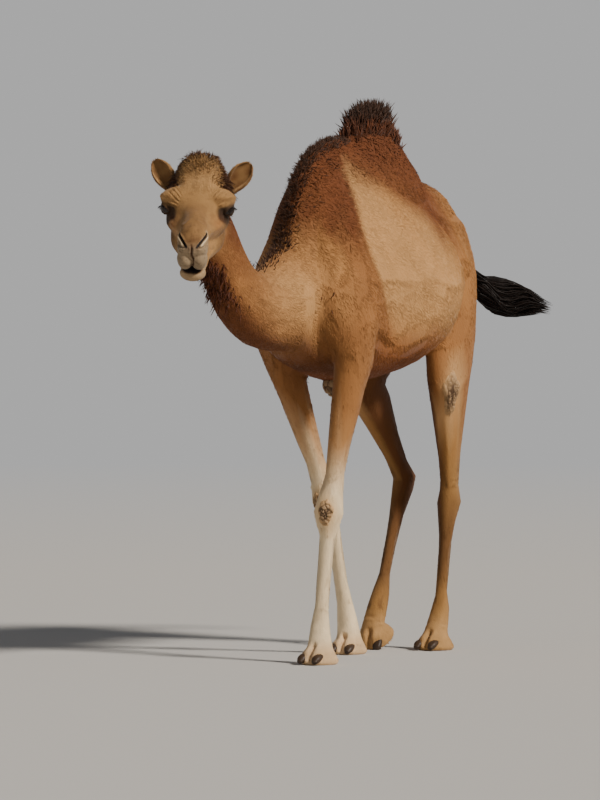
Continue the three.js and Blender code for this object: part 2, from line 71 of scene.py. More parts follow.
# sections, as in the solids
# place along the body, top line, underside, half width, how much narrower the top is
trunkSections = [
    (0.692, 1.430, 1.310, 0.058, 0.10),
    (0.640, 1.545, 1.262, 0.118, 0.26),
    (0.545, 1.650, 1.196, 0.160, 0.36),
    (0.440, 1.685, 1.150, 0.192, 0.42),
    (0.320, 1.702, 1.085, 0.236, 0.45),
    (0.190, 1.720, 1.022, 0.288, 0.48),
    (0.040, 1.750, 0.982, 0.304, 0.50),
    (-0.110, 1.800, 0.962, 0.284, 0.52),
    (-0.240, 1.826, 0.960, 0.246, 0.54),
    (-0.360, 1.802, 0.984, 0.216, 0.56),
    (-0.470, 1.738, 1.004, 0.178, 0.62),
    (-0.570, 1.596, 1.036, 0.140, 0.58),
    (-0.640, 1.440, 1.110, 0.100, 0.35),
]
trunkMiddle = 0.42
# place along the body, height, half width, reach behind, reach ahead
humpSections = [
    (0.060, 1.540, 0.168, 0.290, 0.280),
    (0.050, 1.640, 0.150, 0.282, 0.265),
    (0.030, 1.740, 0.106, 0.214, 0.222),
    (0.010, 1.820, 0.080, 0.150, 0.176),
    (0.000, 1.874, 0.054, 0.108, 0.122),
]
# centre, half width, depth to the crest, depth to the throat
neckSections = [
    ((0.000, -0.470, 1.320), 0.120, 0.180, 0.205),
    ((0.000, -0.585, 1.268), 0.120, 0.182, 0.200),
    ((-0.002, -0.700, 1.226), 0.108, 0.172, 0.156),
    ((-0.008, -0.828, 1.222), 0.096, 0.142, 0.124),
    ((-0.018, -0.930, 1.285), 0.088, 0.122, 0.112),
    ((-0.034, -0.985, 1.385), 0.082, 0.106, 0.112),
    ((-0.062, -1.015, 1.490), 0.080, 0.098, 0.112),
    ((-0.086, -1.035, 1.562), 0.078, 0.080, 0.100),
]
# distance ahead of the eyes, top line, underside, half width, how much narrower the top is
skullSections = [
    (-0.158, 0.072, -0.062, 0.080, 0.04),
    (-0.112, 0.086, -0.092, 0.092, 0.12),
    (-0.062, 0.084, -0.104, 0.102, 0.18),
    (-0.018, 0.076, -0.108, 0.108, 0.22),
    (0.018, 0.066, -0.106, 0.108, 0.24),
    (0.058, 0.056, -0.098, 0.098, 0.28),
    (0.098, 0.054, -0.080, 0.074, 0.24),
    (0.138, 0.058, -0.058, 0.058, 0.14),
    (0.178, 0.060, -0.060, 0.054, 0.10),
    (0.214, 0.050, -0.072, 0.053, 0.06),
    (0.248, 0.026, -0.076, 0.050, 0.00),
]
jawSections = [
    (-0.010, -0.040, -0.138, 0.090, 0.10),
    (0.045, -0.050, -0.158, 0.092, 0.18),
    (0.100, -0.040, -0.148, 0.073, 0.20),
    (0.155, -0.028, -0.132, 0.056, 0.10),
    (0.205, -0.064, -0.122, 0.049, 0.00),
    (0.246, -0.084, -0.130, 0.040, 0.00),
]
# to the left, behind the eyes, above them, half width, half depth
capSections = [(0.002, 0.108, 0.010, 0.098, 0.082), (0.004, 0.112, 0.050, 0.094, 0.078),
               (0.008, 0.120, 0.080, 0.082, 0.067), (0.011, 0.126, 0.102, 0.063, 0.052),
               (0.012, 0.130, 0.116, 0.036, 0.034)]
capHair = 0.013  # depth of the wool on the crown
orbitAt, orbitHalf = (0.080, -0.010, 0.024), (0.050, 0.050, 0.040)
# balls of flesh at the lips: place, half size
lipBalls = [((0.023, 0.250, -0.044), (0.027, 0.031, 0.036)),
            ((-0.023, 0.250, -0.044), (0.027, 0.031, 0.036)),
            ((0, 0.240, -0.105), (0.044, 0.036, 0.025))]
# share of the ear's length, half width, depth
earSections = [(-0.18, 0.017, 0.017), (0.12, 0.027, 0.019), (0.4, 0.037, 0.019), (0.68, 0.035, 0.015),
               (0.9, 0.020, 0.010), (0.985, 0.007, 0.005)]
earPlace = {"out": 0.094, "behind": 0.092, "up": 0.062, "lean": 36, "tip": -7, "turn": 12}
earWall = 0.0085

toePitch, toeFlat, padLength, padWidth = 34.0, 0.005, 0.165, 0.132
toeStand = (padLength / 2 - 0.008) * math.sin(math.radians(toePitch)) - toeFlat
legJoints = {
    "foreleg_left": dict(top=(0.044, -0.395, 1.590), shoulder=(0.140, -0.450, 1.280),
                         elbow=(0.162, -0.410, 1.050), knee=(0.104, -0.478, 0.520),
                         fetlock=(0.084, -0.505, 0.135), foot=(0.094, -0.524, 0.0)),
    "foreleg_right": dict(top=(-0.044, -0.385, 1.590), shoulder=(-0.138, -0.420, 1.280),
                          elbow=(-0.146, -0.345, 1.050), knee=(-0.080, -0.130, 0.545),
                          fetlock=(-0.074, -0.004, 0.150), foot=(-0.072, 0.018, 0.0)),
    "hindleg_left": dict(top=(0.080, 0.490, 1.520), shoulder=(0.110, 0.470, 1.370),
                         elbow=(0.150, 0.365, 0.960), knee=(0.117, 0.430, 0.530),
                         fetlock=(0.106, 0.385, 0.140), foot=(0.104, 0.358, 0.0)),
    "hindleg_right": dict(top=(-0.080, 0.490, 1.520), shoulder=(-0.110, 0.455, 1.370),
                          elbow=(-0.150, 0.290, 0.955), knee=(-0.088, 0.478, 0.605),
                          fetlock=(-0.105, 0.326, 0.192), foot=(-0.112, 0.318, toeStand)),
}
# joint above, joint below, share of the way down, half width, depth in front, depth behind
forelegSections = [
    ("top", "shoulder", 0, 0.034, 0.095, 0.105),
    ("top", "shoulder", 0.85, 0.066, 0.128, 0.128),
    ("shoulder", "elbow", 0.5, 0.076, 0.112, 0.122),
    ("shoulder", "elbow", 1.0, 0.066, 0.080, 0.094),
    ("elbow", "knee", 0.18, 0.056, 0.064, 0.068),
    ("elbow", "knee", 0.44, 0.044, 0.050, 0.048),
    ("elbow", "knee", 0.74, 0.035, 0.038, 0.036),
    ("elbow", "knee", 0.9, 0.046, 0.044, 0.038),
    ("elbow", "knee", 1.0, 0.056, 0.052, 0.042),
    ("knee", "fetlock", 0.14, 0.038, 0.038, 0.037),
    ("knee", "fetlock", 0.32, 0.027, 0.027, 0.029),
    ("knee", "fetlock", 0.78, 0.026, 0.025, 0.028),
    ("knee", "fetlock", 1.0, 0.036, 0.033, 0.036),
]
hindlegSections = [
    ("top", "shoulder", 0, 0.058, 0.100, 0.100),
    ("top", "shoulder", 1, 0.076, 0.150, 0.132),
    ("shoulder", "elbow", 0.4, 0.076, 0.160, 0.152),
    ("shoulder", "elbow", 0.75, 0.072, 0.140, 0.140),
    ("shoulder", "elbow", 1.0, 0.064, 0.118, 0.112),
    ("elbow", "knee", 0.25, 0.057, 0.078, 0.090),
    ("elbow", "knee", 0.6, 0.041, 0.046, 0.060),
    ("elbow", "knee", 0.85, 0.032, 0.034, 0.058),
    ("elbow", "knee", 1.0, 0.043, 0.040, 0.058),
    ("knee", "fetlock", 0.17, 0.034, 0.033, 0.041),
    ("knee", "fetlock", 0.4, 0.023, 0.024, 0.027),
    ("knee", "fetlock", 0.78, 0.022, 0.023, 0.026),
    ("knee", "fetlock", 1.0, 0.036, 0.033, 0.035),
]
# degrees: turned to the side, pitched onto the toes
footTurn = {"foreleg_left": (-4, 0), "foreleg_right": (4, 0), "hindleg_left": (-6, 0),
            "hindleg_right": (4, toePitch)}
# height, shift forward, half width, reach ahead, reach behind
padSections = [
    (0.064, 0.002, 0.046, 0.046, 0.046),
    (0.036, 0.004, 0.058, 0.068, 0.058),
    (0.012, 0.0, padWidth / 2, padLength / 2, padLength / 2 - 0.014),
    (0.000, 0.0, padWidth / 2 - 0.006, padLength / 2 - 0.007, padLength / 2 - 0.022),
]
tailStations = [
    ((0.000, 0.660, 1.412), 0.042, 0.038, 0.038),
    ((0.008, 0.722, 1.370), 0.030, 0.028, 0.028),
    ((0.034, 0.768, 1.322), 0.022, 0.022, 0.022),
    ((0.070, 0.800, 1.290), 0.018, 0.018, 0.018),
]
brushPath = [(0.038, 0.776, 1.326), (0.086, 0.806, 1.290), (0.160, 0.836, 1.257), (0.230, 0.852, 1.243),
             (0.292, 0.865, 1.227)]
brushHalf = [(0.034, 0.058), (0.038, 0.072), (0.038, 0.066), (0.032, 0.050), (0.016, 0.027)]


# small helpers
def unit(v):
    return v / np.maximum(np.linalg.norm(v, axis=-1, keepdims=True), 1e-12)


def turned(x=0.0, y=0.0, z=0.0, order="ZXY"):
    # a rotation matrix from degrees about the axes, the first named axis applied last
    def about(axis, degrees):
        c, s = math.cos(math.radians(degrees)), math.sin(math.radians(degrees))
        i, j = {"X": (1, 2), "Y": (2, 0), "Z": (0, 1)}[axis]
        matrix = np.eye(3)
        matrix[i, i] = matrix[j, j] = c
        matrix[i, j], matrix[j, i] = -s, s
        return matrix
    return np.linalg.multi_dot([about(axis, {"X": x, "Y": y, "Z": z}[axis]) for axis in order])


def ramp(value, start, end):
    # 0 before start, 1 past end, and an s-shaped rise between them
    t = np.clip((value - start) / (end - start), 0, 1)
    return t * t * (3 - 2 * t)


def blob(points, centre, radii):
    # 1 at the centre, falling off as a bell with those radii
    return np.exp(-(((points - np.array(centre)) / np.array(radii)) ** 2).sum(-1))


def spline(rows, places):
    # a curve through all the rows, uniform Catmull-Rom; places run from 0 to 1
    rows = np.asarray(rows, float)
    padded = np.vstack([2 * rows[0] - rows[1], rows, 2 * rows[-1] - rows[-2]])
    spot = np.asarray(places, float) * (len(rows) - 1)
    span = np.clip(spot.astype(int), 0, len(rows) - 2)
    t = (spot - span)[:, None]
    a, b, c, d = (padded[span + k] for k in range(4))
    return 0.5 * (2 * b + (c - a) * t + (2 * a - 5 * b + 4 * c - d) * t**2 + (3 * b - a - 3 * c + d) * t**3)


def along(rows, places):
    # the curve's direction
    places = np.asarray(places, float)
    return unit(spline(rows, np.minimum(places + 1e-4, 1)) - spline(rows, np.maximum(places - 1e-4, 0)))


def power(v, exponent):
    return np.sign(v) * np.abs(v) ** exponent


headTurn = turned(headPitch, headRoll, headYaw)


def onHead(left, ahead, rise):
    return headCentre + headTurn @ np.array([left, -ahead, rise])


def toHead(points):
    # columns: to the left, ahead of the eyes, above them
    local = (points - headCentre) @ headTurn
    return local * np.array([1, -1, 1])


# surfaces
def tube(rings):
    # closes rings of points (rings, sides, 3) into one body; the ends are fans round their middles
    count, sides = rings.shape[:2]
    points = np.vstack([rings[0].mean(0), rings.reshape(-1, 3), rings[-1].mean(0)])
    i = np.arange(sides)
    j = (i + 1) % sides
    final = 1 + (count - 1) * sides
    ends = np.vstack([np.stack([0 * i, 1 + j, 1 + i], 1),
                      np.stack([0 * i + len(points) - 1, final + i, final + j], 1)])
    r = 1 + sides * np.arange(count - 1)[:, None]
    walls = np.stack([r + i, r + j, r + sides + j, r + sides + i], -1).reshape(-1, 4)
    return {"points": points, "faces": ends.tolist() + walls.tolist()}


def limb(at, girth, pinch=0.0, facing=None, side=(1, 0, 0), sides=30, steps=6, caps=(0.0, 0.0), grow=0.0,
         square=2.2):
    # Oval sections carried along a curve: half width across, depth in front, depth behind. The front is
    # narrower by pinch. The ends are rounded off over the lengths in caps.
    at, girth = np.array(at, float), np.array(girth, float)
    last = len(at) - 1
    ways = along(at, np.arange(last + 1) / last)
    for i, way in (facing or {}).items():
        ways[i] = unit(np.array(way, float))
    lean = np.column_stack([np.broadcast_to(np.array(pinch, float), last + 1)] * 3)
    place = np.linspace(0, 1, last * steps + 1)
    shrink, push = np.ones_like(place), np.zeros_like(place)
    rounds = 5
    if caps[0]:
        bend = math.pi / 2 * (np.arange(rounds) + 0.3) / rounds
        place = np.concatenate([np.zeros(rounds), place])
        shrink = np.concatenate([np.sin(bend), shrink])
        push = np.concatenate([-(caps[0] + grow) * np.cos(bend), push])
    if caps[1]:
        bend = math.pi / 2 * (np.arange(1, rounds + 1) - 0.3) / rounds
        place = np.concatenate([place, np.ones(rounds)])
        shrink = np.concatenate([shrink, np.cos(bend)])
        push = np.concatenate([push, (caps[1] + grow) * np.sin(bend)])
    span = np.clip((place * last + 1e-9).astype(int), 0, last - 1)
    t = (place * last - span)[:, None]
    way = unit(ways[span] * (1 - t) + ways[span + 1] * t)
    across = unit(np.array(side) - way * (way @ np.array(side, float))[:, None])
    forward = np.cross(way, across)
    size, centre = spline(girth, place), spline(at, place) + way * push[:, None]
    angle = 2 * math.pi * np.arange(sides) / sides
    rise = power(np.sin(angle), 2 / square)[None, :]
    depth = np.where(rise > 0, size[:, 1:2], size[:, 2:3]) + grow
    width = (size[:, 0:1] + grow) * (1 - spline(lean, place)[:, :1] * np.maximum(rise, 0))
    out = across[:, None] * (shrink[:, None] * width * power(np.cos(angle), 2 / square))[..., None]
    up = forward[:, None] * (shrink[:, None] * depth * rise)[..., None]
    body = tube(centre[:, None] + out + up)
    body.update(centre=centre, way=way, across=across, forward=forward, size=size)
    return body


def ball(at, half, turn=np.eye(3), rings=(24, 16)):
    # an ellipsoid: its half sizes carried over the angles from its pole and round it
    theta = math.pi * (np.arange(1, rings[1]) / rings[1])[:, None]
    phi = 2 * math.pi * (np.arange(rings[0]) / rings[0])[None, :]
    shape = np.stack([np.sin(theta) * np.cos(phi), -np.sin(theta) * np.sin(phi), np.cos(theta) + 0 * phi], -1)
    return tube((shape * np.array(half)) @ turn.T + np.array(at))


def placed(name, data):
    # an object for a mesh, a light or a camera, put in the scene
    thing = bpy.data.objects.new(name, data)
    bpy.context.scene.collection.objects.link(thing)
    return thing


def meshOf(name, points, faces):
    mesh = bpy.data.meshes.new(name)
    mesh.from_pydata(np.asarray(points).tolist(), [], [list(map(int, face)) for face in faces])
    return mesh


def joinedBodies(bodies):
    points, faces, base = [], [], 0
    for body in bodies:
        points.append(body["points"])
        faces += [[v + base for v in face] for face in body["faces"]]
        base += len(body["points"])
    return np.vstack(points), faces


# a finer mesh inside some balls: they are swollen before the remesh and shrunk back after it
def swollen(points, balls):
    places, here = np.array([b[0] for b in balls]), []
    for k, (_, radius, gain) in enumerate(balls):
        here.append(places[k].copy())
        points, places = swell(points, here[k], radius, gain), swell(places, here[k], radius, gain)
    return points, here


def swell(points, centre, radius, gain):
    reach = np.linalg.norm(points - centre, axis=-1, keepdims=True)
    longer = np.where(reach < radius, reach * gain, reach + (gain - 1) * radius)
    return centre + (points - centre) * longer / np.maximum(reach, 1e-9)


def shrunk(points, balls, here):
    for (_, radius, gain), centre in reversed(list(zip(balls, here))):
        reach = np.linalg.norm(points - centre, axis=-1, keepdims=True)
        shorter = np.where(reach < radius * gain, reach / gain, reach - (gain - 1) * radius)
        points = centre + (points - centre) * shorter / np.maximum(reach, 1e-9)
    return points


# the body's limbs
def trunkLimb(grow):
    at = [(0, y, under + trunkMiddle * (top - under)) for y, top, under, _, _ in trunkSections]
    girth = [(wide, (1 - trunkMiddle) * (top - under), trunkMiddle * (top - under))
             for _, top, under, wide, _ in trunkSections]
    upright = {i: (0, -1, 0) for i in range(len(at))}
    return limb(at, girth, [s[4] for s in trunkSections], upright, sides=48, caps=(0.04, 0.04), grow=grow)


def humpLimb(grow):
    at = [(0, y, z) for y, z, _, _, _ in humpSections]
    girth = [(wide, behind, ahead) for _, _, wide, behind, ahead in humpSections]
    return limb(at, girth, caps=(0.04, 0.016), grow=grow, sides=36)


def neckLimb(grow):
    girth = [s[1:] for s in neckSections]
    return limb([s[0] for s in neckSections], girth, 0.16, caps=(0.04, 0.02), grow=grow, sides=36)


def headLimb(sections, caps, grow):
    at = [onHead(0, ahead, (top + under) / 2) for ahead, top, under, _, _ in sections]
    girth = [(wide, (top - under) / 2, (top - under) / 2) for _, top, under, wide, _ in sections]
    return limb(at, girth, [s[4] for s in sections], side=headTurn[:, 0], caps=caps, grow=grow, sides=40)


def footFrame(leg):
    yaw, pitch = footTurn[leg]
    return turned(pitch, 0, yaw), np.array(legJoints[leg]["foot"])


def legLimb(leg, grow):
    joints = {k: np.array(v) for k, v in legJoints[leg].items()}
    turn, foot = footFrame(leg)
    sections = forelegSections if leg.startswith("fore") else hindlegSections
    at = [joints[a] + (joints[b] - joints[a]) * share for a, b, share, _, _, _ in sections]
    girth = [s[3:] for s in sections]
    facing = {}
    for up, ahead, wide, front, back in padSections:
        facing[len(at)] = -turn[:, 2]
        at.append(foot + turn @ np.array([0, -ahead, up]))
        girth.append((wide, front, back))
    return limb(at, girth, facing=facing, caps=(0.05, 0), grow=grow, sides=26)


def earLeaf(mirror):
    # A hollow leaf: each section is a C whose outside faces back and whose hollow faces forward.
    place = np.linspace(0, 1, 20)
    share, wide, deep = spline(earSections, place).T
    bend = np.radians(np.linspace(-100, 100, 15))
    outer = np.stack([np.sin(bend) * wide[:, None], np.cos(bend) * deep[:, None] * 1.1], -1)
    thin = np.minimum(earWall, 0.45 * np.minimum(wide, deep))[:, None]
    inner = np.stack([np.sin(bend) * (wide[:, None] - thin), np.cos(bend) * deep[:, None] * 1.1 - thin], -1)
    flat = np.concatenate([outer, inner[:, ::-1]], 1)
    height = np.broadcast_to((share * earLength)[:, None, None], flat.shape[:2] + (1,))
    rings = np.concatenate([flat, height], -1)
    own = turned(earPlace["tip"], earPlace["lean"], earPlace["turn"], "YXZ")
    rings = rings @ own.T + np.array([earPlace["out"], earPlace["behind"], earPlace["up"]])
    if mirror < 0:
        rings = (rings * np.array([-1, 1, 1]))
    else:
        rings = rings[:, ::-1]
    rings = rings @ turned(0, headRoll, headYaw).T + headCentre
    body = tube(rings)
    axis = rings.mean(1)
    way = np.gradient(axis, axis=0)
    return body | {"centre": axis, "way": unit(way)}


mirrors = (1, -1)
ears = {mirror: earLeaf(mirror) for mirror in mirrors}
limbs = {
    "trunk": trunkLimb(-coatDepth["trunk"]),
    "hump": humpLimb(-coatDepth["hump"]),
    "neck": neckLimb(-coatDepth["neck"]),
    "skull": headLimb(skullSections, (0.034, 0.026), -coatDepth["head"]),
    "jaw": headLimb(jawSections, (0.026, 0.026), -coatDepth["head"]),
    "tail": limb([s[0] for s in tailStations], [s[1:] for s in tailStations], caps=(0.03, 0.014),
                 grow=-coatDepth["tail"]),
}
limbs["cap"] = limb([onHead(left, -behind, rise) for left, behind, rise, _, _ in capSections],
                    [(wide, deep, deep) for *_, wide, deep in capSections],
                    side=headTurn[:, 0], caps=(0.01, 0.006), grow=-capHair)
for leg in legJoints:
    limbs[leg] = legLimb(leg, -coatDepth["leg"])
orbits = [ball(onHead(m * orbitAt[0], orbitAt[1], orbitAt[2]), np.array(orbitHalf) - 0.003, headTurn)
          for m in mirrors]
lips = [ball(onHead(*place), half, headTurn) for place, half in lipBalls]
print("limbs", len(limbs))

eyeAt = {m: onHead(m * eyeOut, eyeAhead, eyeRise) for m in mirrors}
fineBalls = [(eyeAt[m], *eyeBall) for m in mirrors] + [headBall]
fineBalls += [(np.array(legJoints[leg]["foot"]) + np.array([0, -0.01, 0.03]), *footBall) for leg in legJoints]


def skinMesh():
    # all limbs as one surface, by a voxel remesh in the swollen space
    points, faces = joinedBodies(list(limbs.values()) + orbits + lips + list(ears.values()))
    points, here = swollen(points, fineBalls)
    rough = placed("rough", meshOf("rough", points, faces))
    remesh = rough.modifiers.new("remesh", "REMESH")
    remesh.mode = "VOXEL"
    remesh.voxel_size = voxel
    remesh.adaptivity = 0
    shape = rough.evaluated_get(bpy.context.evaluated_depsgraph_get())
    mesh = bpy.data.meshes.new_from_object(shape)
    bpy.data.objects.remove(rough)
    found = np.empty(len(mesh.vertices) * 3)
    mesh.vertices.foreach_get("co", found)
    found = shrunk(found.reshape(-1, 3), fineBalls, here)
    mesh.vertices.foreach_set("co", found.ravel())
    mesh.update()
    mesh.name = "skin"
    return placed("skin", mesh)


skin = skinMesh()
print("skin faces", len(skin.data.polygons))


# regions: how near each point is to each limb, in that limb's own half widths
def nearness(points, body, every=3):
    best = np.full(len(points), 1e9, np.float32)
    which = np.zeros(len(points), int)
    for k in range(0, len(body["centre"]), every):
        gap = (points - body["centre"][k]).astype(np.float32)
        wide, front, back = body["size"][k]
        up = gap @ body["forward"][k]
        flat = (gap @ body["across"][k] / wide) ** 2 + (up / np.where(up > 0, front, back)) ** 2
        far = flat + (gap @ body["way"][k] / (0.6 * wide + 0.02)) ** 2
        nearer = far < best
        best[nearer], which[nearer] = far[nearer], k
    return np.sqrt(best), which


regionNames = ["trunk", "hump", "neck", "skull", "jaw", "tail"] + list(legJoints)
# which way the hair lies along each limb, and how it lies over the body and down the neck
flowTurn = {"trunk": 0, "hump": 0, "neck": -1, "skull": -1, "jaw": -1, "tail": 1}
flowTurn |= {leg: 1 for leg in legJoints}
bodyFlow, neckFlow = (0, 0.75, -0.65), (0, 0, -0.35)
regionEdge = {"sharpness": 7, "ear": (0.054, 0.042), "offSkull": (1.06, 1.22), "earFlow": (0.06, 0.04)}


def regionsOf(points):
    # soft shares of each region for each point, and the lie of the hair
    near, ways = [], []
    for name in regionNames:
        far, which = nearness(points, limbs[name])
        near.append(far)
        ways.append(limbs[name]["way"][which] * flowTurn[name])
    share = np.exp(-regionEdge["sharpness"] * (np.array(near) - np.min(near, 0)))
    share /= share.sum(0)
    flow = (share[..., None] * np.array(ways)).sum(0)
    shares = dict(zip(regionNames, share))
    earNear = [np.linalg.norm(points[:, None] - ear["centre"][None, ::3], axis=2).min(1)
               for ear in ears.values()]
    offSkull = ramp(near[regionNames.index("skull")], *regionEdge["offSkull"])
    earShare = ramp(np.minimum(*earNear), *regionEdge["ear"]) * offSkull
    shares = {name: part * (1 - earShare) for name, part in shares.items()}
    body = shares["trunk"] + shares["hump"]
    flow += body[:, None] * np.array(bodyFlow) + shares["neck"][:, None] * np.array(neckFlow)
    shares["body"] = body
    shares["ears"] = earShare
    shares["head"] = shares["skull"] + shares["jaw"] + earShare
    shares["legs"] = sum(shares[leg] for leg in legJoints)
    earWay = sum(ramp(far, *regionEdge["earFlow"])[:, None] * ear["way"][10]
                 for far, ear in zip(earNear, ears.values()))
    flow = flow * (1 - earShare)[:, None] + earWay * earShare[:, None]
    return shares, flow


# the mesh as arrays
def arraysOf(mesh):
    points = np.empty(len(mesh.vertices) * 3)
    mesh.vertices.foreach_get("co", points)
    edges = np.empty(len(mesh.edges) * 2, int)
    mesh.edges.foreach_get("vertices", edges)
    return points.reshape(-1, 3), edges.reshape(-1, 2)


def normalsOf(mesh, points):
    mesh.vertices.foreach_set("co", points.ravel())
    mesh.update()
    found = np.empty(len(points) * 3)
    mesh.vertices.foreach_get("normal", found)
    return found.reshape(-1, 3)


def smoothed(points, edges, amount, rounds):
    # each round moves a point towards the middle of its neighbours by its own share
    edges = edges[(amount[edges] > 0).any(1)]
    used, at = np.unique(edges, return_inverse=True)
    a, b = at.reshape(-1, 2).T
    some, amount = points[used], amount[used][:, None]
    count = np.bincount(at.ravel(), minlength=len(used))[:, None]
    for _ in range(rounds):
        total = np.stack([np.bincount(a, some[b, k], len(used)) + np.bincount(b, some[a, k], len(used))
                          for k in range(3)], 1)
        some = some + amount * (total / count - some)
    points = points.copy()
    points[used] = some
    return points


def lineGap(points, line, ways=None):
    # Distance to a line through the given places, and how far along it the nearest place is, 0 to 1.
    # With the skin's directions at those places, the distance is taken along the skin.
    places = np.linspace(0, 1, 8 * len(line))
    line, ways = spline(line, places), None if ways is None else unit(spline(ways, places))
    best, where = np.full(len(points), 1e9), np.zeros(len(points))
    for k in range(len(line) - 1):
        step, gap = line[k + 1] - line[k], points - line[k]
        if ways is not None:
            off = gap @ ways[k]
            gap = gap - (off * (np.abs(off) < 0.03))[:, None] * ways[k]
        t = np.clip(gap @ step / (step @ step), 0, 1)
        gap = np.linalg.norm(gap - t[:, None] * step, axis=1)
        nearer = gap < best
        best[nearer], where[nearer] = gap[nearer], (k + t[nearer]) / (len(line) - 1)
    return best, where


def grooved(points, normals, line, width, depth, rim=0.0, ways=None):
    # a groove of that depth along a line, fading at both ends, with raised rims; a ridge if depth is negative
    low, high = np.min(line, 0) - 3 * width, np.max(line, 0) + 3 * width
    close = np.where(((points > low) & (points < high)).all(1))[0]
    gap, where = lineGap(points[close], line, ways)
    fade = ramp(where, -0.02, 0.22) * ramp(where, 1.02, 0.78)
    cut = -depth * np.exp(-(gap / width) ** 2) + rim * np.exp(-((gap - 1.7 * width) / width) ** 2)
    points[close] += normals[close] * (cut * fade)[:, None]


def raised(points, normals, centre, radii, height):
    # a soft bump on the surface, or a hollow if height is negative
    points += normals * (height * blob(points, centre, radii))[:, None]


def mirrored(line, mirror):
    return [(mirror * x, y, z) for x, y, z in line]


def headLine(line, mirror=1):
    return [tuple(onHead(mirror * left, ahead, rise)) for left, ahead, rise in line]


# folds and muscles of the body: line, width, depth, rim
rearShoulder = [(0.077, -0.305, 1.724), (0.116, -0.327, 1.637), (0.162, -0.340, 1.515),
                (0.201, -0.334, 1.394), (0.229, -0.296, 1.290), (0.231, -0.246, 1.185),
                (0.213, -0.188, 1.098)]
flankEdge = [(0.152, 0.171, 1.591), (0.175, 0.325, 1.496), (0.204, 0.372, 1.397), (0.199, 0.406, 1.325),
             (0.197, 0.362, 1.182), (0.178, 0.278, 1.076)]
neckBase = [(0.150, -0.600, 1.350), (0.142, -0.590, 1.250), (0.119, -0.575, 1.152), (0.088, -0.500, 1.048)]
bodyFolds = [
    (rearShoulder, 0.030, 0.004, 0.0),
    (flankEdge, 0.034, 0.013, 0.006),
    (neckBase, 0.024, 0.021, 0.007),
    ([(0.204, -0.131, 1.062), (0.232, -0.069, 1.090), (0.258, -0.003, 1.131)], 0.018, 0.003, 0.004),
    ([(0.185, -0.300, 1.150), (0.200, -0.250, 1.105), (0.200, -0.190, 1.085)], 0.020, 0.006, 0.004),
    ([(0.170, -0.480, 1.330), (0.186, -0.440, 1.240), (0.190, -0.420, 1.130)], 0.026, 0.006, 0.004),
    ([(0.120, -0.480, 1.520), (0.150, -0.450, 1.420), (0.172, -0.440, 1.330)], 0.030, 0.006, 0.004),
]
# place, radii and height of what stands out on each side
bodyForms = [
    ((0.19, -0.40, 1.22), (0.09, 0.09, 0.13), 0.014),  # upper arm
    ((0.12, 0.50, 1.63), (0.06, 0.06, 0.04), 0.010),  # point of the hip
    ((0.24, 0.08, 1.22), (0.12, 0.24, 0.16), 0.010),  # belly
    ((0.14, -0.62, 1.25), (0.07, 0.10, 0.12), 0.010),  # base of the neck
]
shoulderStep = {"raised": 0.011, "sunk": 0.006}  # the shoulder blade, and the ribs behind it


def lineX(z, line):
    # how far back a line on the body's side lies at each height
    heights = np.array([p[2] for p in line])
    order = np.argsort(heights)
    return np.interp(z, heights[order], np.array([p[1] for p in line])[order])


def sculptBody(points, normals):
    for line, width, depth, rim in bodyFolds:
        for mirror in mirrors:
            grooved(points, normals, mirrored(line, mirror), width, depth, rim)
    rear = points[:, 1] - lineX(points[:, 2], rearShoulder)
    side = ramp(np.abs(points[:, 0]), 0.05, 0.10) * ramp(points[:, 2], 1.06, 1.18)
    side = side * ramp(points[:, 2], 1.76, 1.66)
    blade = shoulderStep["raised"] * ramp(rear, 0.005, -0.035) * ramp(rear, -0.24, -0.08)
    ribs = shoulderStep["sunk"] * ramp(rear, 0.0, 0.03) * ramp(rear, 0.22, 0.08)
    points += normals * (side * (blade - ribs))[:, None]
    for mirror in mirrors:
        for (x, y, z), radii, height in bodyForms:
            raised(points, normals, (mirror * x, y, z), radii, height)


# Folds of the legs. Each has its cut (width, depth, rim) and its line, of steps down the bone and back from
# its middle; the knee's lines go aside and ahead, and the cleft's lie ahead in the foot and up.
legFolds = {
    "tendon": {"aside": 0.019, "line": ((0.06, 0.014), (0.14, 0.006), (0.24, 0.006), (0.33, 0.012)),
               "cut": (0.007, 0.007, 0.003)},
    "knee": {"drops": (-0.075, -0.055, 0.045, 0.062), "line": ((-0.05, 0.01), (0, 0.06), (0.05, 0.01)),
             "cut": (0.006, 0.0050, 0.003)},
    "forearm": {"aside": 0.03, "line": (0.10, 0.20, 0.32, 0.42), "cut": (0.014, 0.006, 0.003)},
    "heel": {"aside": 0.024, "line": ((0.20, 0.012), (0.12, 0.018), (0.05, 0.022)),
             "cut": (0.014, 0.008, 0.002)},
    "cleft": {"line": ((0.030, 0.075), (0.055, 0.055), (0.075, 0.030), (0.085, 0.005)),
              "cut": (0.009, 0.013, 0.004)},
}
# place ahead of the joint, or in the foot, then radii and height
legForms = {"knee": (0.05, (0.04, 0.03, 0.05), 0.006), "hock": (-0.055, (0.03, 0.03, 0.04), 0.006),
            "toe": ((0.03, -0.055, 0.045), (0.02, 0.03, 0.02), 0.005)}


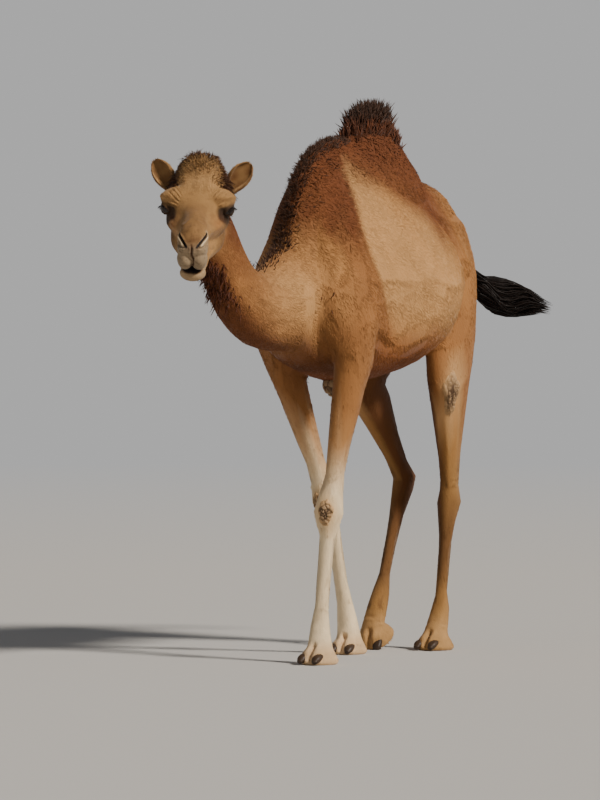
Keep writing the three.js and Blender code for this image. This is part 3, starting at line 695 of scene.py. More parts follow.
def sculptLegs(points, normals):
    side = np.array([1.0, 0, 0])
    for leg, joints in legJoints.items():
        knee, fetlock, elbow = (np.array(joints[k]) for k in ("knee", "fetlock", "elbow"))
        down, upper = unit(fetlock - knee), unit(knee - elbow)
        front = unit(np.cross(down, side))
        front = front if front[1] < 0 else -front
        folds = [("tendon", [knee + down * d + side * m * legFolds["tendon"]["aside"] - front * b
                             for d, b in legFolds["tendon"]["line"]]) for m in mirrors]
        if leg.startswith("fore"):
            ahead, radii, height = legForms["knee"]
            folds += [("knee", [knee + down * drop + side * s + front * f
                                for s, f in legFolds["knee"]["line"]]) for drop in legFolds["knee"]["drops"]]
            folds += [("forearm", [elbow + upper * d + side * m * legFolds["forearm"]["aside"]
                                   for d in legFolds["forearm"]["line"]]) for m in mirrors]
        else:
            ahead, radii, height = legForms["hock"]
            folds += [("heel", [knee - upper * d + side * m * legFolds["heel"]["aside"] - front * b
                                for d, b in legFolds["heel"]["line"]]) for m in mirrors]
        for kind, line in folds[:2]:
            grooved(points, normals, line, *legFolds[kind]["cut"])
        raised(points, normals, knee + front * ahead, radii, height)
        for kind, line in folds[2:]:
            grooved(points, normals, line, *legFolds[kind]["cut"])
        turn, foot = footFrame(leg)
        cleft = [foot + turn @ np.array([0, -a, u]) for a, u in legFolds["cleft"]["line"]]
        grooved(points, normals, cleft, *legFolds["cleft"]["cut"])
        (out, ahead, up), radii, height = legForms["toe"]
        for m in mirrors:
            raised(points, normals, foot + turn @ np.array([m * out, ahead, up]), radii, height)


# head: every place is to the left, ahead of the eyes, and above them
nostrilLine = [(0.050, 0.194, 0.024), (0.047, 0.216, 0.029), (0.038, 0.238, 0.027), (0.024, 0.256, 0.018),
               (0.017, 0.266, 0.011)]
nostrilCut = (0.0034, 0.014, 0.0040)
headRidges = [  # line, width, depth, rim; a negative depth stands out
    ([(0.076, 0.030, -0.030), (0.070, 0.080, -0.022), (0.056, 0.130, -0.008), (0.050, 0.165, 0.004)],
     0.012, -0.005, 0),  # cheekbone
    ([(0.072, 0.062, 0.030), (0.050, 0.105, 0.032), (0.044, 0.145, 0.026)], 0.016, 0.003, 0),  # by the bridge
    ([(0.040, 0.030, 0.068), (0.070, 0.030, 0.066), (0.098, 0.018, 0.060), (0.120, -0.004, 0.042),
      (0.128, -0.030, 0.015)], 0.013, -0.005, 0),  # brow
    ([(0.050, 0.150, 0.024), (0.030, 0.182, 0.048), (0.003, 0.160, 0.060)], 0.009, -0.003, 0),  # nose's edge
    ([(0.018, 0.266, 0.010), (0.030, 0.262, 0.006), (0.044, 0.248, 0.006), (0.052, 0.228, 0.008)],
     0.0032, 0.007, 0.003),  # fold below the nostril
    ([(0.053, 0.190, -0.022), (0.053, 0.215, -0.032), (0.050, 0.240, -0.034)], 0.006, 0.0025, 0.0015),  # lip
    ([(0.047, 0.228, -0.081), (0.054, 0.190, -0.079), (0.062, 0.150, -0.082), (0.072, 0.112, -0.088)],
     0.0045, 0.008, 0.002),  # the mouth's side
    ([(0.020, 0.015, 0.090), (0.024, -0.040, 0.098), (0.018, -0.090, 0.100)], 0.012, 0.002, 0),  # forehead
]
headForms = [  # place, radii and height of what stands out, or sinks in
    ((0.025, 0.278, -0.034), (0.018, 0.026, 0.034), 0.004),  # half of the split lip
    ((0.050, 0.222, 0.014), (0.014, 0.028, 0.014), 0.008),  # wing of the nostril
    ((0.036, 0.206, 0.044), (0.016, 0.024, 0.014), 0.004),  # flesh over it
    ((0.040, 0.262, -0.004), (0.016, 0.020, 0.010), 0.004),  # pad below it
    ((0.084, 0.056, -0.002), (0.018, 0.020, 0.026), -0.009),  # hollow in front of the eye
    ((0.098, 0.034, -0.042), (0.018, 0.030, 0.014), 0.004),  # bag below the eye
    ((0.054, 0.110, 0.012), (0.018, 0.035, 0.020), -0.004),  # beside the nose
    ((0.086, 0.000, -0.085), (0.030, 0.050, 0.045), 0.006),  # cheek muscle
    ((0.060, 0.000, 0.066), (0.030, 0.050, 0.030), 0.008),  # between the brow and the forehead
    ((0.045, 0.222, -0.030), (0.020, 0.035, 0.022), 0.003),  # side of the upper lip
]
middleForms = [
    ((0, 0.266, -0.096), (0.036, 0.022, 0.010), 0.003),  # lower lip
    ((0, 0.120, 0.066), (0.022, 0.080, 0.020), 0.004),  # bridge of the nose
    ((0, 0.212, 0.048), (0.022, 0.020, 0.018), 0.005),  # tip of the nose
]
lipCleft = [(0, 0.262, 0.016), (0, 0.274, 0.002), (0, 0.280, -0.018), (0, 0.280, -0.045), (0, 0.270, -0.074)]
browWrinkles = [
    ((0.110, 0.016, 0.040), (0.072, 0.052, 0.030)),
    ((0.104, 0.006, 0.046), (0.066, 0.046, 0.038)),
    ((0.097, -0.006, 0.052), (0.060, 0.040, 0.046)),
    ((0.090, -0.018, 0.055), (0.054, 0.034, 0.052)),
    ((0.082, -0.032, 0.057), (0.049, 0.026, 0.058)),
]
browFolds = [(0.034, -50, 62), (0.041, -40, 60)]  # distance from the eye, degrees
bagFolds = [(0.031, 208, 318), (0.038, 214, 306)]
lidOpening = (0.52, 0.60, 0.90)  # how far up, down and to each side the lids leave the eye open
lidThick = 0.0042
wrinkleCut, cleftCut = (0.0026, 0.0026, 0.0016), (0.0034, 0.008, 0.002)  # width, depth, rim
browFoldCut = (0.004, (0.0034, 0.003, 0.002))  # how far out the folds lie, then the cut
bagFoldCut = (-0.002, (0.0036, 0.0028, 0.0016))
headEase = {"socket": (0.078, 0.0, 0.03), "socketRadii": (0.055, 0.075, 0.062), "socketShare": 0.5,
            "share": 0.6, "rounds": 90, "last": 0.30, "reach": 0.40}


def eyeAxes(mirror):
    # outward, forward and up of an eye, as rows
    outward = headTurn @ unit(np.array([mirror * 0.76, -0.62, 0.12]))
    forward = headTurn @ np.array([0, -1.0, 0])
    forward = unit(forward - outward * (forward @ outward))
    up = np.cross(outward, forward) * mirror
    return np.array([outward, forward, up * np.sign(up[2])])


def aroundEye(mirror, reach, degrees, lift=0.0):
    outward, forward, up = eyeAxes(mirror)
    a = math.radians(degrees)
    flat = reach * (forward * math.sin(a) + up * math.cos(a))
    return eyeAt[mirror] + flat + outward * (0.012 + lift)


creases = {}  # lines on the skin, with the skin's directions there


def crease(points, normals, line, name=None):
    # the line laid on the skin, and the skin's directions along it
    line = spline(line, np.linspace(0, 1, 9))
    on = [int(np.argmin(((points - p) ** 2).sum(1))) for p in line]
    line, ways = points[on].copy(), normals[on].copy()
    line[1:-1] = (line[:-2] + 2 * line[1:-1] + line[2:]) / 4
    ways[1:-1] = unit(ways[:-2] + 2 * ways[1:-1] + ways[2:])
    if name:
        creases[name] = (line, ways)
    return line, ways


def headSoftness(points):
    # how much the joins of the head's limbs are eased: round the eyes, on the brow's ledge, on the cheeks
    h, radii = toHead(points), headEase["socketRadii"]
    left, ahead, rise = np.abs(h[:, 0]), h[:, 1], h[:, 2]
    out, front, up = headEase["socket"]
    gaps = [np.linalg.norm((h - np.array([m * out, front, up])) / radii, axis=1) for m in mirrors]
    socket = headEase["socketShare"] * ramp(np.minimum(*gaps), 1.35, 1.0)
    ledge = headEase["share"] * ramp(rise, 0.035, 0.060) * ramp(rise, 0.125, 0.105)
    ledge = ledge * ramp(ahead, 0.050, 0.010) * ramp(left, 0.11, 0.09)
    cheek = headEase["share"] * ramp(rise, -0.030, -0.050) * ramp(rise, -0.125, -0.105)
    cheek = cheek * ramp(ahead, 0.185, 0.150) * ramp(ahead, -0.10, -0.07)
    soft = np.maximum(np.maximum(socket, ledge), cheek * ramp(left, 0.020, 0.040))
    return soft * (ramp(np.linalg.norm(points - headCentre, axis=1), 0.32, 0.28) * (1 - shares["ears"]))


def sculptHead(mesh, points, edges):
    everywhere = smoothed(points, edges, headSoftness(points), headEase["rounds"])
    near = np.where(np.linalg.norm(points - headCentre, axis=1) < headEase["reach"])[0]
    points, normals = everywhere[near], normalsOf(mesh, everywhere)[near]
    for (left, ahead, rise), radii, height in headForms:
        for mirror in mirrors:
            raisedHead(points, normals, (mirror * left, ahead, rise), radii, height)
    for place, radii, height in middleForms:
        raisedHead(points, normals, place, radii, height)
    everywhere[near] = points
    points, normals = everywhere[near], normalsOf(mesh, everywhere)[near]
    smooth, ways = points.copy(), normals.copy()

    def cut(line, width, depth, rim, name=None):
        line, lineWays = crease(smooth, ways, line, name)
        grooved(points, normals, line, width, depth, rim, lineWays)

    for mirror in mirrors:
        for line, width, depth, rim in headRidges:
            cut(headLine(line, mirror), width, depth, rim)
        cut(headLine(nostrilLine, mirror), *nostrilCut, ("nostril", mirror))
        for line in browWrinkles:  # deeper on the right, where the brow is drawn up
            width, depth, rim = wrinkleCut
            deep = 1.0 if mirror < 0 else 0.5
            cut(headLine(line, mirror), width, depth * deep, rim * deep)
        for folds, lift, foldCut in ((browFolds, *browFoldCut), (bagFolds, *bagFoldCut)):
            for reach, start, end in folds:
                cut([aroundEye(mirror, reach, d, lift) for d in np.linspace(start, end, 5)], *foldCut)
    cut(headLine(lipCleft), *cleftCut, "cleft")
    for mirror in mirrors:
        lids(points, mirror)
    everywhere[near] = points
    last = headEase["last"] * ramp(np.linalg.norm(everywhere - headCentre, axis=1), 0.36, 0.32)
    return smoothed(everywhere, edges, last, 1)


def raisedHead(points, normals, place, radii, height):
    # as raised, with the place and the radii along the head's own axes
    gap = (toHead(points) - np.array(place)) / np.array(radii)
    points += normals * (height * np.exp(-(gap**2).sum(1)))[:, None]


def lids(points, mirror):
    # Lays the skin on the eyeball as two thick lids with an almond opening between them.
    outward, forward, up = eyeAxes(mirror)
    gap = points - eyeAt[mirror]
    reach = np.linalg.norm(gap, axis=1)
    close = np.where((reach < 0.048) & (gap @ outward > -0.004))[0]
    way = unit(gap[close])
    x, y, z = way @ forward, way @ up, way @ outward
    above, below, half = lidOpening
    arch = np.maximum(1 - (x / half) ** 2, -0.5)
    inside = np.minimum(above * arch - y, y + below * arch)  # above 0 in the opening
    margin = eyeRadius + lidThick
    height = margin - 0.0012 * ramp(inside, -0.12, -0.4)
    height = np.where(inside > 0, margin - (margin - eyeRadius + 0.006) * ramp(inside, 0.0, 0.09), height)
    hold = ramp(z, 0.0, 0.70)
    wanted = hold * height + (1 - hold) * reach[close]
    points[close] = eyeAt[mirror] + way * wanted[:, None]


# how far the joins of the limbs are eased: body, neck as a share of it, all above the elbows, rounds
bodyEase = {"body": 0.55, "neck": 0.8, "upper": 0.42, "rounds": 40, "all": 0.35, "lastRounds": 2}
points, edges = arraysOf(skin.data)
shares, _ = regionsOf(points)
ease = bodyEase["body"] * (shares["body"] + bodyEase["neck"] * shares["neck"]) * (1 - shares["head"])
fromHead = np.linalg.norm(points - headCentre, axis=1)
ease = np.maximum(ease, bodyEase["upper"] * ramp(points[:, 2], 0.95, 1.05) * ramp(fromHead, 0.28, 0.36))
points = smoothed(points, edges, ease, bodyEase["rounds"])
offEars = np.full(len(points), bodyEase["all"]) * (1 - shares["ears"])
points = smoothed(points, edges, offEars, bodyEase["lastRounds"])
normals = normalsOf(skin.data, points)
sculptBody(points, normals)
sculptLegs(points, normals)
points = sculptHead(skin.data, points, edges)
normalsOf(skin.data, points)
print("skin sculpted")


# the skin as it is kept: fewer faces, and more of them left on the head and feet than on the body
thinning = {"share": 0.34, "headReach": 0.34, "footReach": 0.13, "fineWeight": 0.25}


def thinned(thing):
    fine = np.linalg.norm(points - headCentre, axis=1) < thinning["headReach"]
    for leg in legJoints:
        fine |= np.linalg.norm(points - np.array(legJoints[leg]["foot"]), axis=1) < thinning["footReach"]
    group = thing.vertex_groups.new(name="coarse")
    group.add([int(i) for i in np.where(~fine)[0]], 1.0, "REPLACE")
    group.add([int(i) for i in np.where(fine)[0]], thinning["fineWeight"], "REPLACE")
    fewer = thing.modifiers.new("fewer", "DECIMATE")
    fewer.ratio = thinning["share"]
    fewer.vertex_group = "coarse"
    fewer.use_collapse_triangulate = True
    shape = thing.evaluated_get(bpy.context.evaluated_depsgraph_get())
    mesh = bpy.data.meshes.new_from_object(shape)
    thing.modifiers.clear()
    thing.vertex_groups.clear()
    thing.data = mesh


thinned(skin)
print("skin thinned", len(skin.data.polygons))


def unwrapped(thing):
    # an unwrap of the skin's own shape, which places each tuft's patch of colour
    bpy.context.view_layer.objects.active = thing
    thing.select_set(True)
    bpy.ops.object.mode_set(mode="EDIT")
    bpy.ops.mesh.select_all(action="SELECT")
    bpy.ops.uv.smart_project(angle_limit=math.radians(70), island_margin=0.001)
    bpy.ops.object.mode_set(mode="OBJECT")
    thing.data.uv_layers[0].name = "OFBake"


unwrapped(skin)
print("skin unwrapped")

points, edges = arraysOf(skin.data)
normals = normalsOf(skin.data, points)
shares, flow = regionsOf(points)
flow = unit(flow - normals * (flow * normals).sum(1)[:, None])


# markings, the same for skin and coat
def colour(text):
    # linear red, green and blue of a web colour
    parts = np.array([int(text[i : i + 2], 16) for i in (0, 2, 4)]) / 255
    return np.where(parts < 0.04045, parts / 12.92, ((parts + 0.055) / 1.055) ** 2.4)


# socket, inner and earDark are dark skin and hair that also serve as painted shade round the eyes, inside the
# hind legs and in the ears' hollows
shades = {
    "sand": "a6733f", "cream": "c79d6a", "rust": "69391b", "darkRust": "5e3116", "orange": "874a1f",
    "throat": "5a2b10", "pale": "e6cfa8", "ochre": "916a38", "brown": "4a2a12", "dark": "1a0d06",
    "face": "977245", "muzzle": "8f7d64", "socket": "2a1a0e", "callus": "9a7d5c",
    "crack": "4a3524", "inner": "5a3214", "earDark": "5e3c1d",
}
shades = {name: colour(text) for name, text in shades.items()}
ragged = {"rough": (0.16, 3), "fine": (0.05, 4), "speck": (0.014, 9)}  # size of the waves, seed


def wander(points, size, seed):
    # smooth noise between -1 and 1 from a few turned waves, for ragged edges
    draw = np.random.default_rng(seed)
    total = np.zeros(len(points))
    for _ in range(9):
        way = unit(draw.normal(size=3)) * 2 * math.pi / (size * draw.uniform(0.5, 1.6))
        total += np.sin(points @ way + draw.uniform(0, 6.28))
    return total / 4


neckBlaze = {"at": (0, -0.70, 1.28), "radii": (0.4, 0.17, 0.17)}
wedge = {"height": 1.73, "fall": 0.48, "from": -0.30}  # lower edge of the rust behind the shoulder


def bodyMarkings(paint, points, normals, shares, rough, finer):
    x, y, z = points.T
    body, neck, head = shares["body"], shares["neck"], shares["head"]
    rear = y - lineX(z, rearShoulder) - 0.012 * rough
    shoulder = ramp(rear, 0.012, -0.012)
    torso = np.clip(body + neck, 0, 1)
    # the pale base of the neck and shoulder front, and the rust above it
    paint("cream", 0.55 * torso * blob(points, neckBlaze["at"], neckBlaze["radii"]))
    paint("rust", 0.95 * torso * ramp(z + 0.04 * rough + 0.02 * finer, 1.38, 1.54) * shoulder)
    paint("darkRust", 0.4 * torso * shoulder * ramp(z + 0.04 * rough, 1.42, 1.55))
    paint("rust", 0.5 * torso * shoulder * ramp(z, 1.02, 1.30) * ramp(y, -0.52, -0.42))
    for leg in ("foreleg_left", "foreleg_right"):
        paint("rust", 0.30 * shares[leg] * shoulder * ramp(z, 1.00, 1.2))
    # behind the shoulder a pale wedge widens down to the flank; above it the hump's side is rust
    over = z - (wedge["height"] - wedge["fall"] * (y - wedge["from"])) + 0.035 * rough + 0.015 * finer
    flank = ramp(over, 0.02, -0.06) * ramp(y, 0.42, 0.10) * ramp(z, 1.06, 1.22)
    paint("cream", 0.45 * body * (1 - shoulder) * flank)
    paint("rust", 0.95 * body * (1 - shoulder) * ramp(over, -0.03, 0.06) * ramp(y, 0.52, 0.26))
    paint("rust", 0.45 * body * ramp(finer + rough, 0.2, 0.9) * ramp(y, 0.22, 0.34) * ramp(z, 1.40, 1.5))
    paint("rust", 0.9 * body * ramp(z, 1.70, 1.77))
    paint("darkRust", 0.3 * body * ramp(z + 0.03 * finer, 1.64, 1.78) * ramp(y, -0.36, -0.15))
    paint("darkRust", 0.5 * body * ramp(np.abs(x) + 0.01 * finer, 0.06, 0.02) * ramp(normals[:, 2], 0.4, 0.8))
    # underside, breast and throat: rust and dark hair, made darker still where the skin faces down and
    # between the forelegs, as painted shade
    paint("orange", 0.85 * body * ramp(z + 0.02 * rough, 1.18, 1.05) * ramp(normals[:, 2], 0.3, -0.25))
    # painted shade on the downward-facing underside, over the belly's rust
    paint("rust", 0.8 * body * ramp(z + 0.02 * rough, 1.10, 1.00) * ramp(normals[:, 2], 0.1, -0.6))
    front = ramp(-normals[:, 2] * 0.8 - normals[:, 1] * 0.5, 0.25, 0.75)
    # the throat's dark hair, darker where the neck faces down: partly painted shade
    paint("throat", 0.85 * neck * front)
    paint("rust", 0.55 * neck * ramp(z, 1.30, 1.40) * (1 - head))
    paint("throat", 0.75 * neck * ramp(z, 1.36, 1.44) * front)
    # painted shade on the breast between the forelegs, over its brown hair
    paint("brown", 0.6 * body * ramp(y, -0.36, -0.46) * ramp(z, 1.20, 1.10) * front)
    # top of the hump, and the neck's underside
    paint("dark", body * ramp(z, 1.825, 1.865))
    paint("rust", 0.35 * neck * ramp(y, -0.72, -0.84) * ramp(z, 1.42, 1.34))


fetlockBand = {"height": 0.155, "half": (0.020, 0.008)}


def legMarkings(paint, points, normals, shares, rough, finer):
    y, z = points[:, 1], points[:, 2]
    for leg in legJoints:
        on, knee = shares[leg], np.array(legJoints[leg]["knee"])
        down = knee[2] - z
        inward = -np.sign(knee[0]) * normals[:, 0]
        if leg.startswith("fore"):  # cream below the elbow, darker inside the arm
            # inside the arm the cream is held back: partly darker hair, partly painted shade
            inside = 1 - 0.4 * ramp(inward, 0.3, 0.9) * ramp(down, 0.1, -0.2)
            paint("pale", 0.92 * on * ramp(down + 0.03 * rough, -0.28, -0.03) * inside)
            paint("rust", 0.35 * on * ramp(down, -0.22, -0.36))
            # brown on the arm's inner side: partly darker hair, partly painted shade
            paint("brown", 0.45 * on * ramp(down, -0.25, -0.45) * ramp(inward, 0.0, 0.6))
            paint("sand", 0.5 * on * ramp(z, 0.10, 0.04))
        else:  # rust thigh, ochre gaskin, brown cannon, and a paler foot
            paint("rust", 0.45 * on * ramp(down, -0.20, -0.36) * ramp(y + 0.03 * rough, 0.62, 0.50))
            paint("ochre", 0.8 * on * ramp(down + 0.03 * rough, -0.34, -0.10))
            ahead = 0.6 + 0.4 * ramp(normals[:, 1], 0.4, -0.4)
            paint("brown", 0.7 * on * ramp(down, -0.12, 0.10) * ramp(z, 0.16, 0.28) * ahead)
            # the inner side of the hind leg: darker hair, deepened as painted shade
            paint("inner", 0.9 * on * ramp(inward, -0.1, 0.5) * ramp(z, 0.3, 0.6))
            paint("ochre", 0.6 * on * ramp(z, 0.20, 0.12))
            paint("cream", 0.35 * on * ramp(z, 0.16, 0.08))
        band = ramp(np.abs(z - fetlockBand["height"] - 0.01 * finer), *fetlockBand["half"])
        paint("brown", 0.6 * on * band * ramp(finer, 0.0, 0.5) * ramp(-normals[:, 1], 0.2, 0.7))


# painted shade along the gap between the lips: its height, wave, and the widths of the brown and dark bands
mouthGapShade = {"rise": -0.0815, "wave": 0.0008, "brown": (0.0105, 0.0070), "dark": (0.0078, 0.0052)}
nostrilRim = {"from": 0.0075, "half": (0.0035, 0.001)}  # pale edge round the dark slit
# the dark round each eye: dark skin and painted shade from the brow
eyeSkinAndShade = {"at": (0, 0.022, -0.010), "radii": (1, 0.047, 0.040), "edge": (1.15, 0.70)}
tearStreak = {"at": (0, 0.085, -0.01), "radii": (1, 0.03, 0.022)}


def headMarkings(paint, points, normals, shares, finer):
    head, ears, h = shares["head"], shares["ears"], toHead(points)
    left, ahead, rise = np.abs(h[:, 0]), h[:, 1], h[:, 2]
    flat = h * np.array([0, 1, 1])
    # forehead, brow, and the greyer muzzle with a dark nose
    paint("face", 0.9 * head)
    paint("cream", 0.35 * head * ramp(rise, 0.05, 0.085) * ramp(ahead, 0.03, -0.03))
    paint("brown", 0.35 * head * ramp(rise + 0.01 * finer, 0.02, 0.045) * ramp(ahead, 0.03, 0.08))
    paint("muzzle", 0.8 * head * ramp(ahead, 0.19, 0.25) * ramp(rise, 0.03, 0.01))
    between = ramp(left, 0.034, 0.020) * ramp(rise, -0.004, 0.010) * ramp(rise, 0.042, 0.030)
    between = between * ramp(ahead, 0.21, 0.235)
    paint("brown", 0.6 * head * between * (0.7 + 0.3 * finer))
    specks = wander(points, *ragged["speck"])
    paint("brown", 0.30 * head * ramp(ahead, 0.15, 0.22) * ramp(specks, 0.3, 0.8))
    paint("brown", 0.22 * head * ramp(specks + finer, 0.2, 1.2) * ramp(ahead, 0.22, 0.15))
    # jaw, cheek, chin and lower lip; the dark throat under the jaw is partly painted shade, and the brown
    # down the sides of the face is painted shade
    # dark throat under the jaw: partly dark hair, partly painted shade
    paint("throat", 0.6 * head * ramp(rise, -0.10, -0.15) * ramp(ahead, 0.16, 0.08))
    # painted shade down the sides of the face
    paint("brown", 0.6 * head * ramp(left, 0.062, 0.090) * ramp(rise, -0.01, -0.07))
    paint("cream", 0.30 * head * ramp(ahead, 0.22, 0.25) * ramp(rise, -0.075, -0.09))
    paint("brown", 0.45 * head * ramp(ahead, 0.18, 0.22) * ramp(rise + 0.004 * finer, -0.108, -0.120))
    # eye sockets: dark skin, and painted shade under the overhanging brow; and the streak below them
    eyeGap = np.linalg.norm((flat - np.array(eyeSkinAndShade["at"])) / np.array(eyeSkinAndShade["radii"]), axis=1)
    # dark skin and painted shade round the eye
    paint("socket", 0.95 * head * ramp(left, 0.05, 0.08) * ramp(eyeGap + 0.08 * finer, *eyeSkinAndShade["edge"]))
    paint("orange", 0.35 * head * ramp(left, 0.035, 0.06) * blob(flat, tearStreak["at"], tearStreak["radii"]))
    # nostrils, mouth and the split of the upper lip: painted shade in the nostril slits, in the gap between
    # the lips and in the lip's split
    nostril = np.minimum(*[lineGap(points, *creases["nostril", m])[0] for m in mirrors])
    edge = ramp(np.abs(nostril - nostrilRim["from"]), *nostrilRim["half"])
    paint("pale", 0.75 * head * edge * ramp(left, 0.026, 0.036) * ramp(rise, 0.034, 0.022))
    # painted shade in the nostril slit
    paint("dark", head * ramp(nostril, 0.0050, 0.0030))
    mouth = np.abs(rise - mouthGapShade["rise"] + mouthGapShade["wave"] * finer)
    # painted shade along the gap between the lips
    paint("brown", 0.7 * head * ramp(mouth, *mouthGapShade["brown"]) * ramp(ahead, 0.20, 0.225))
    paint("dark", head * ramp(mouth, *mouthGapShade["dark"]) * ramp(ahead, 0.18, 0.21))
    cleft = lineGap(points, *creases["cleft"])[0]
    # painted shade in the lip's split
    paint("brown", 0.85 * head * ramp(cleft, 0.0048, 0.0022))
    # ears: dark hollow, partly painted shade, cream rim, and the dark wool behind them
    facing = normals @ headTurn[:, 1]
    paint("face", 0.8 * ears)
    # the ear's hollow: darker hair, deepened as painted shade
    paint("earDark", 0.8 * ears * ramp(facing, 0.0, -0.5) * (0.75 + 0.35 * finer))
    paint("cream", 0.5 * ears * ramp(np.abs(facing), 0.45, 0.15))
    behind = ramp(left, 0.070, 0.085) * ramp(ahead, -0.075, -0.095) * ramp(rise, -0.03, 0.0)
    paint("brown", 0.6 * head * behind * (1 - ears))


bareRing = {"strength": 0.6, "edge": (1.40, 1.05)}  # cream skin round the calluses
unevenCoat = (0.07, 0.06)  # how much the rough and fine waves lighten and darken the whole coat


def markings(points, normals, shares):
    # the coat's colour at each point: shades laid over one another, each by an amount from 0 to 1
    rough, finer = wander(points, *ragged["rough"]), wander(points, *ragged["fine"])
    tint = np.tile(shades["sand"], (len(points), 1))

    def paint(name, amount):
        amount = np.clip(amount, 0, 1)[:, None]
        tint[:] = tint * (1 - amount) + shades[name] * amount

    bodyMarkings(paint, points, normals, shares, rough, finer)
    legMarkings(paint, points, normals, shares, rough, finer)
    headMarkings(paint, points, normals, shares, finer)
    for plate in calluses.values():
        paint("cream", bareRing["strength"] * ramp(callusGap(points, plate), *bareRing["edge"]))
    return tint * (1 + unevenCoat[0] * rough + unevenCoat[1] * finer)[:, None]


# calluses on the knees and stifles: half size and thickness, and where each lies from its joint
callusSizes = {
    "knee": {"half": (0.035, 0.052), "thick": 0.007, "ahead": 0.048, "aside": 0.008, "facing": 0.25},
    "stifle": {"half": (0.042, 0.090), "thick": 0.014, "at": (0.045, -0.062, -0.050),
               "outward": (0.75, -0.65, 0.1)},
}


def callusGap(points, plate):
    # 0 in the middle of a callus, 1 at its edge
    outward = unit(np.array(plate["outward"], float))
    across = unit(np.cross([0, 0, 1.0], outward))
    gap = points - np.array(plate["at"])
    flat = np.hypot(gap @ across / plate["half"][0], gap @ np.cross(outward, across) / plate["half"][1])
    return np.maximum(flat, np.abs(gap @ outward) / 0.06)


def kneeCallus(joints):
    size, knee, m = callusSizes["knee"], np.array(joints["knee"]), np.sign(joints["knee"][0])
    ahead = np.cross([1.0, 0, 0], unit(np.array(joints["fetlock"]) - knee))
    ahead = ahead * -np.sign(ahead[1])
    at = knee + ahead * size["ahead"] + [m * size["aside"], 0, 0]
    return {"at": at, "outward": ahead + [m * size["facing"], 0, 0],
            "half": size["half"], "thick": size["thick"]}


def stifleCallus(joints):
    size, side = callusSizes["stifle"], np.array([np.sign(joints["knee"][0]), 1, 1])
    return {"at": np.array(joints["elbow"]) + side * size["at"], "outward": side * size["outward"],
            "half": size["half"], "thick": size["thick"]}


calluses = {}
for leg, joints in legJoints.items():
    if leg.startswith("fore"):
        calluses[f"callus_knee_{leg}"] = kneeCallus(joints)
    else:
        calluses[f"callus_stifle_{leg}"] = stifleCallus(joints)
tint = markings(points, normals, shares)
print("markings painted")


def dyed(mesh, colours):
    # the coat's colour as a point attribute that the materials read
    layer = mesh.attributes.new("tint", "FLOAT_COLOR", "POINT")
    opaque = np.column_stack([colours, np.ones(len(colours))])
    layer.data.foreach_set("color", opaque.astype(np.float32).ravel())


dyed(skin.data, tint)


# coat
def trianglesOf(mesh):
    mesh.calc_loop_triangles()
    count = len(mesh.loop_triangles)
    corners, loops = np.empty(count * 3, int), np.empty(count * 3, int)
    mesh.loop_triangles.foreach_get("vertices", corners)
    mesh.loop_triangles.foreach_get("loops", loops)
    flat = np.empty(len(mesh.loops) * 2)
    mesh.uv_layers["OFBake"].data.foreach_get("uv", flat)
    return corners.reshape(-1, 3), flat.reshape(-1, 2)[loops.reshape(-1, 3)]


corners, cornerUv = trianglesOf(skin.data)
uvOfPoint = np.zeros((len(points), 2))
uvOfPoint[corners] = cornerUv
sideA, sideB = points[corners[:, 1]] - points[corners[:, 0]], points[corners[:, 2]] - points[corners[:, 0]]
faceArea = np.linalg.norm(np.cross(sideA, sideB), axis=1) / 2


def sown(perVertex):
    # root places over the skin, perVertex roots to a square metre, as a table of what the skin is there
    wanted = faceArea * perVertex[corners].mean(1)
    number = np.floor(wanted + chance.random(len(wanted))).astype(int)
    face = np.repeat(np.arange(len(number)), number)
    u, v = chance.random(len(face)), chance.random(len(face))
    over = u + v > 1
    u[over], v[over] = 1 - u[over], 1 - v[over]
    mix = np.stack([1 - u - v, u, v], 1)[..., None]

    def spread(values):
        return (values[corners[face]] * mix).sum(1)

    return {"at": spread(points), "normal": unit(spread(normals)), "flow": unit(spread(flow)),
            "tint": spread(tint), "uv": (cornerUv[face] * mix).sum(1), "face": face, "mix": mix}


def valueAt(roots, values):
    return (values[corners[roots["face"]]] * roots["mix"][..., 0]).sum(1)


def carried(name, mesh, colours, material):
    # the piece of that mesh, dyed, in its material, riding on the body
    dyed(mesh, colours)
    mesh.materials.append(material)
    piece = placed(name, mesh)
    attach(piece, "root")
    return piece


def tuftPiece(name, tuftMesh, material, smooth=False):
    # one piece from the points, triangles, map and colours of its tufts
    points, faces, uv, colours = tuftMesh
    mesh = bpy.data.meshes.new(name)
    mesh.vertices.add(len(points))
    mesh.vertices.foreach_set("co", (points + move).astype(np.float32).ravel())
    mesh.loops.add(faces.size)
    mesh.loops.foreach_set("vertex_index", faces.ravel().astype(np.int32))
    mesh.polygons.add(len(faces))
    mesh.polygons.foreach_set("loop_start", np.arange(0, faces.size, 3, dtype=np.int32))
    mesh.polygons.foreach_set("use_smooth", np.full(len(faces), smooth))
    mesh.update(calc_edges=True)
    mesh.uv_layers.new(name="OFBake").data.foreach_set("uv", uv[faces.ravel()].astype(np.float32).ravel())
    return carried(name, mesh, colours, material)


# One leaf-shaped tuft: its root, two sides, ridge and tip, with their places on the map and how light each
# is. The waist is where the leaf is widest, as a share of its length.
leaf = {"waist": 0.38, "ridge": 0.08, "patch": 0.003, "sink": 0.0012, "lowest": (0.002, 0.001),
        "faces": ((0, 1, 3), (0, 3, 2), (1, 4, 3), (3, 4, 2), (0, 2, 1), (2, 4, 1)),
        "map": ((0, 0), (0.4, -0.5), (0.4, 0.5), (0.5, 0), (1, 0)), "light": (0.72, 0.95, 0.95, 1.05, 1.14)}


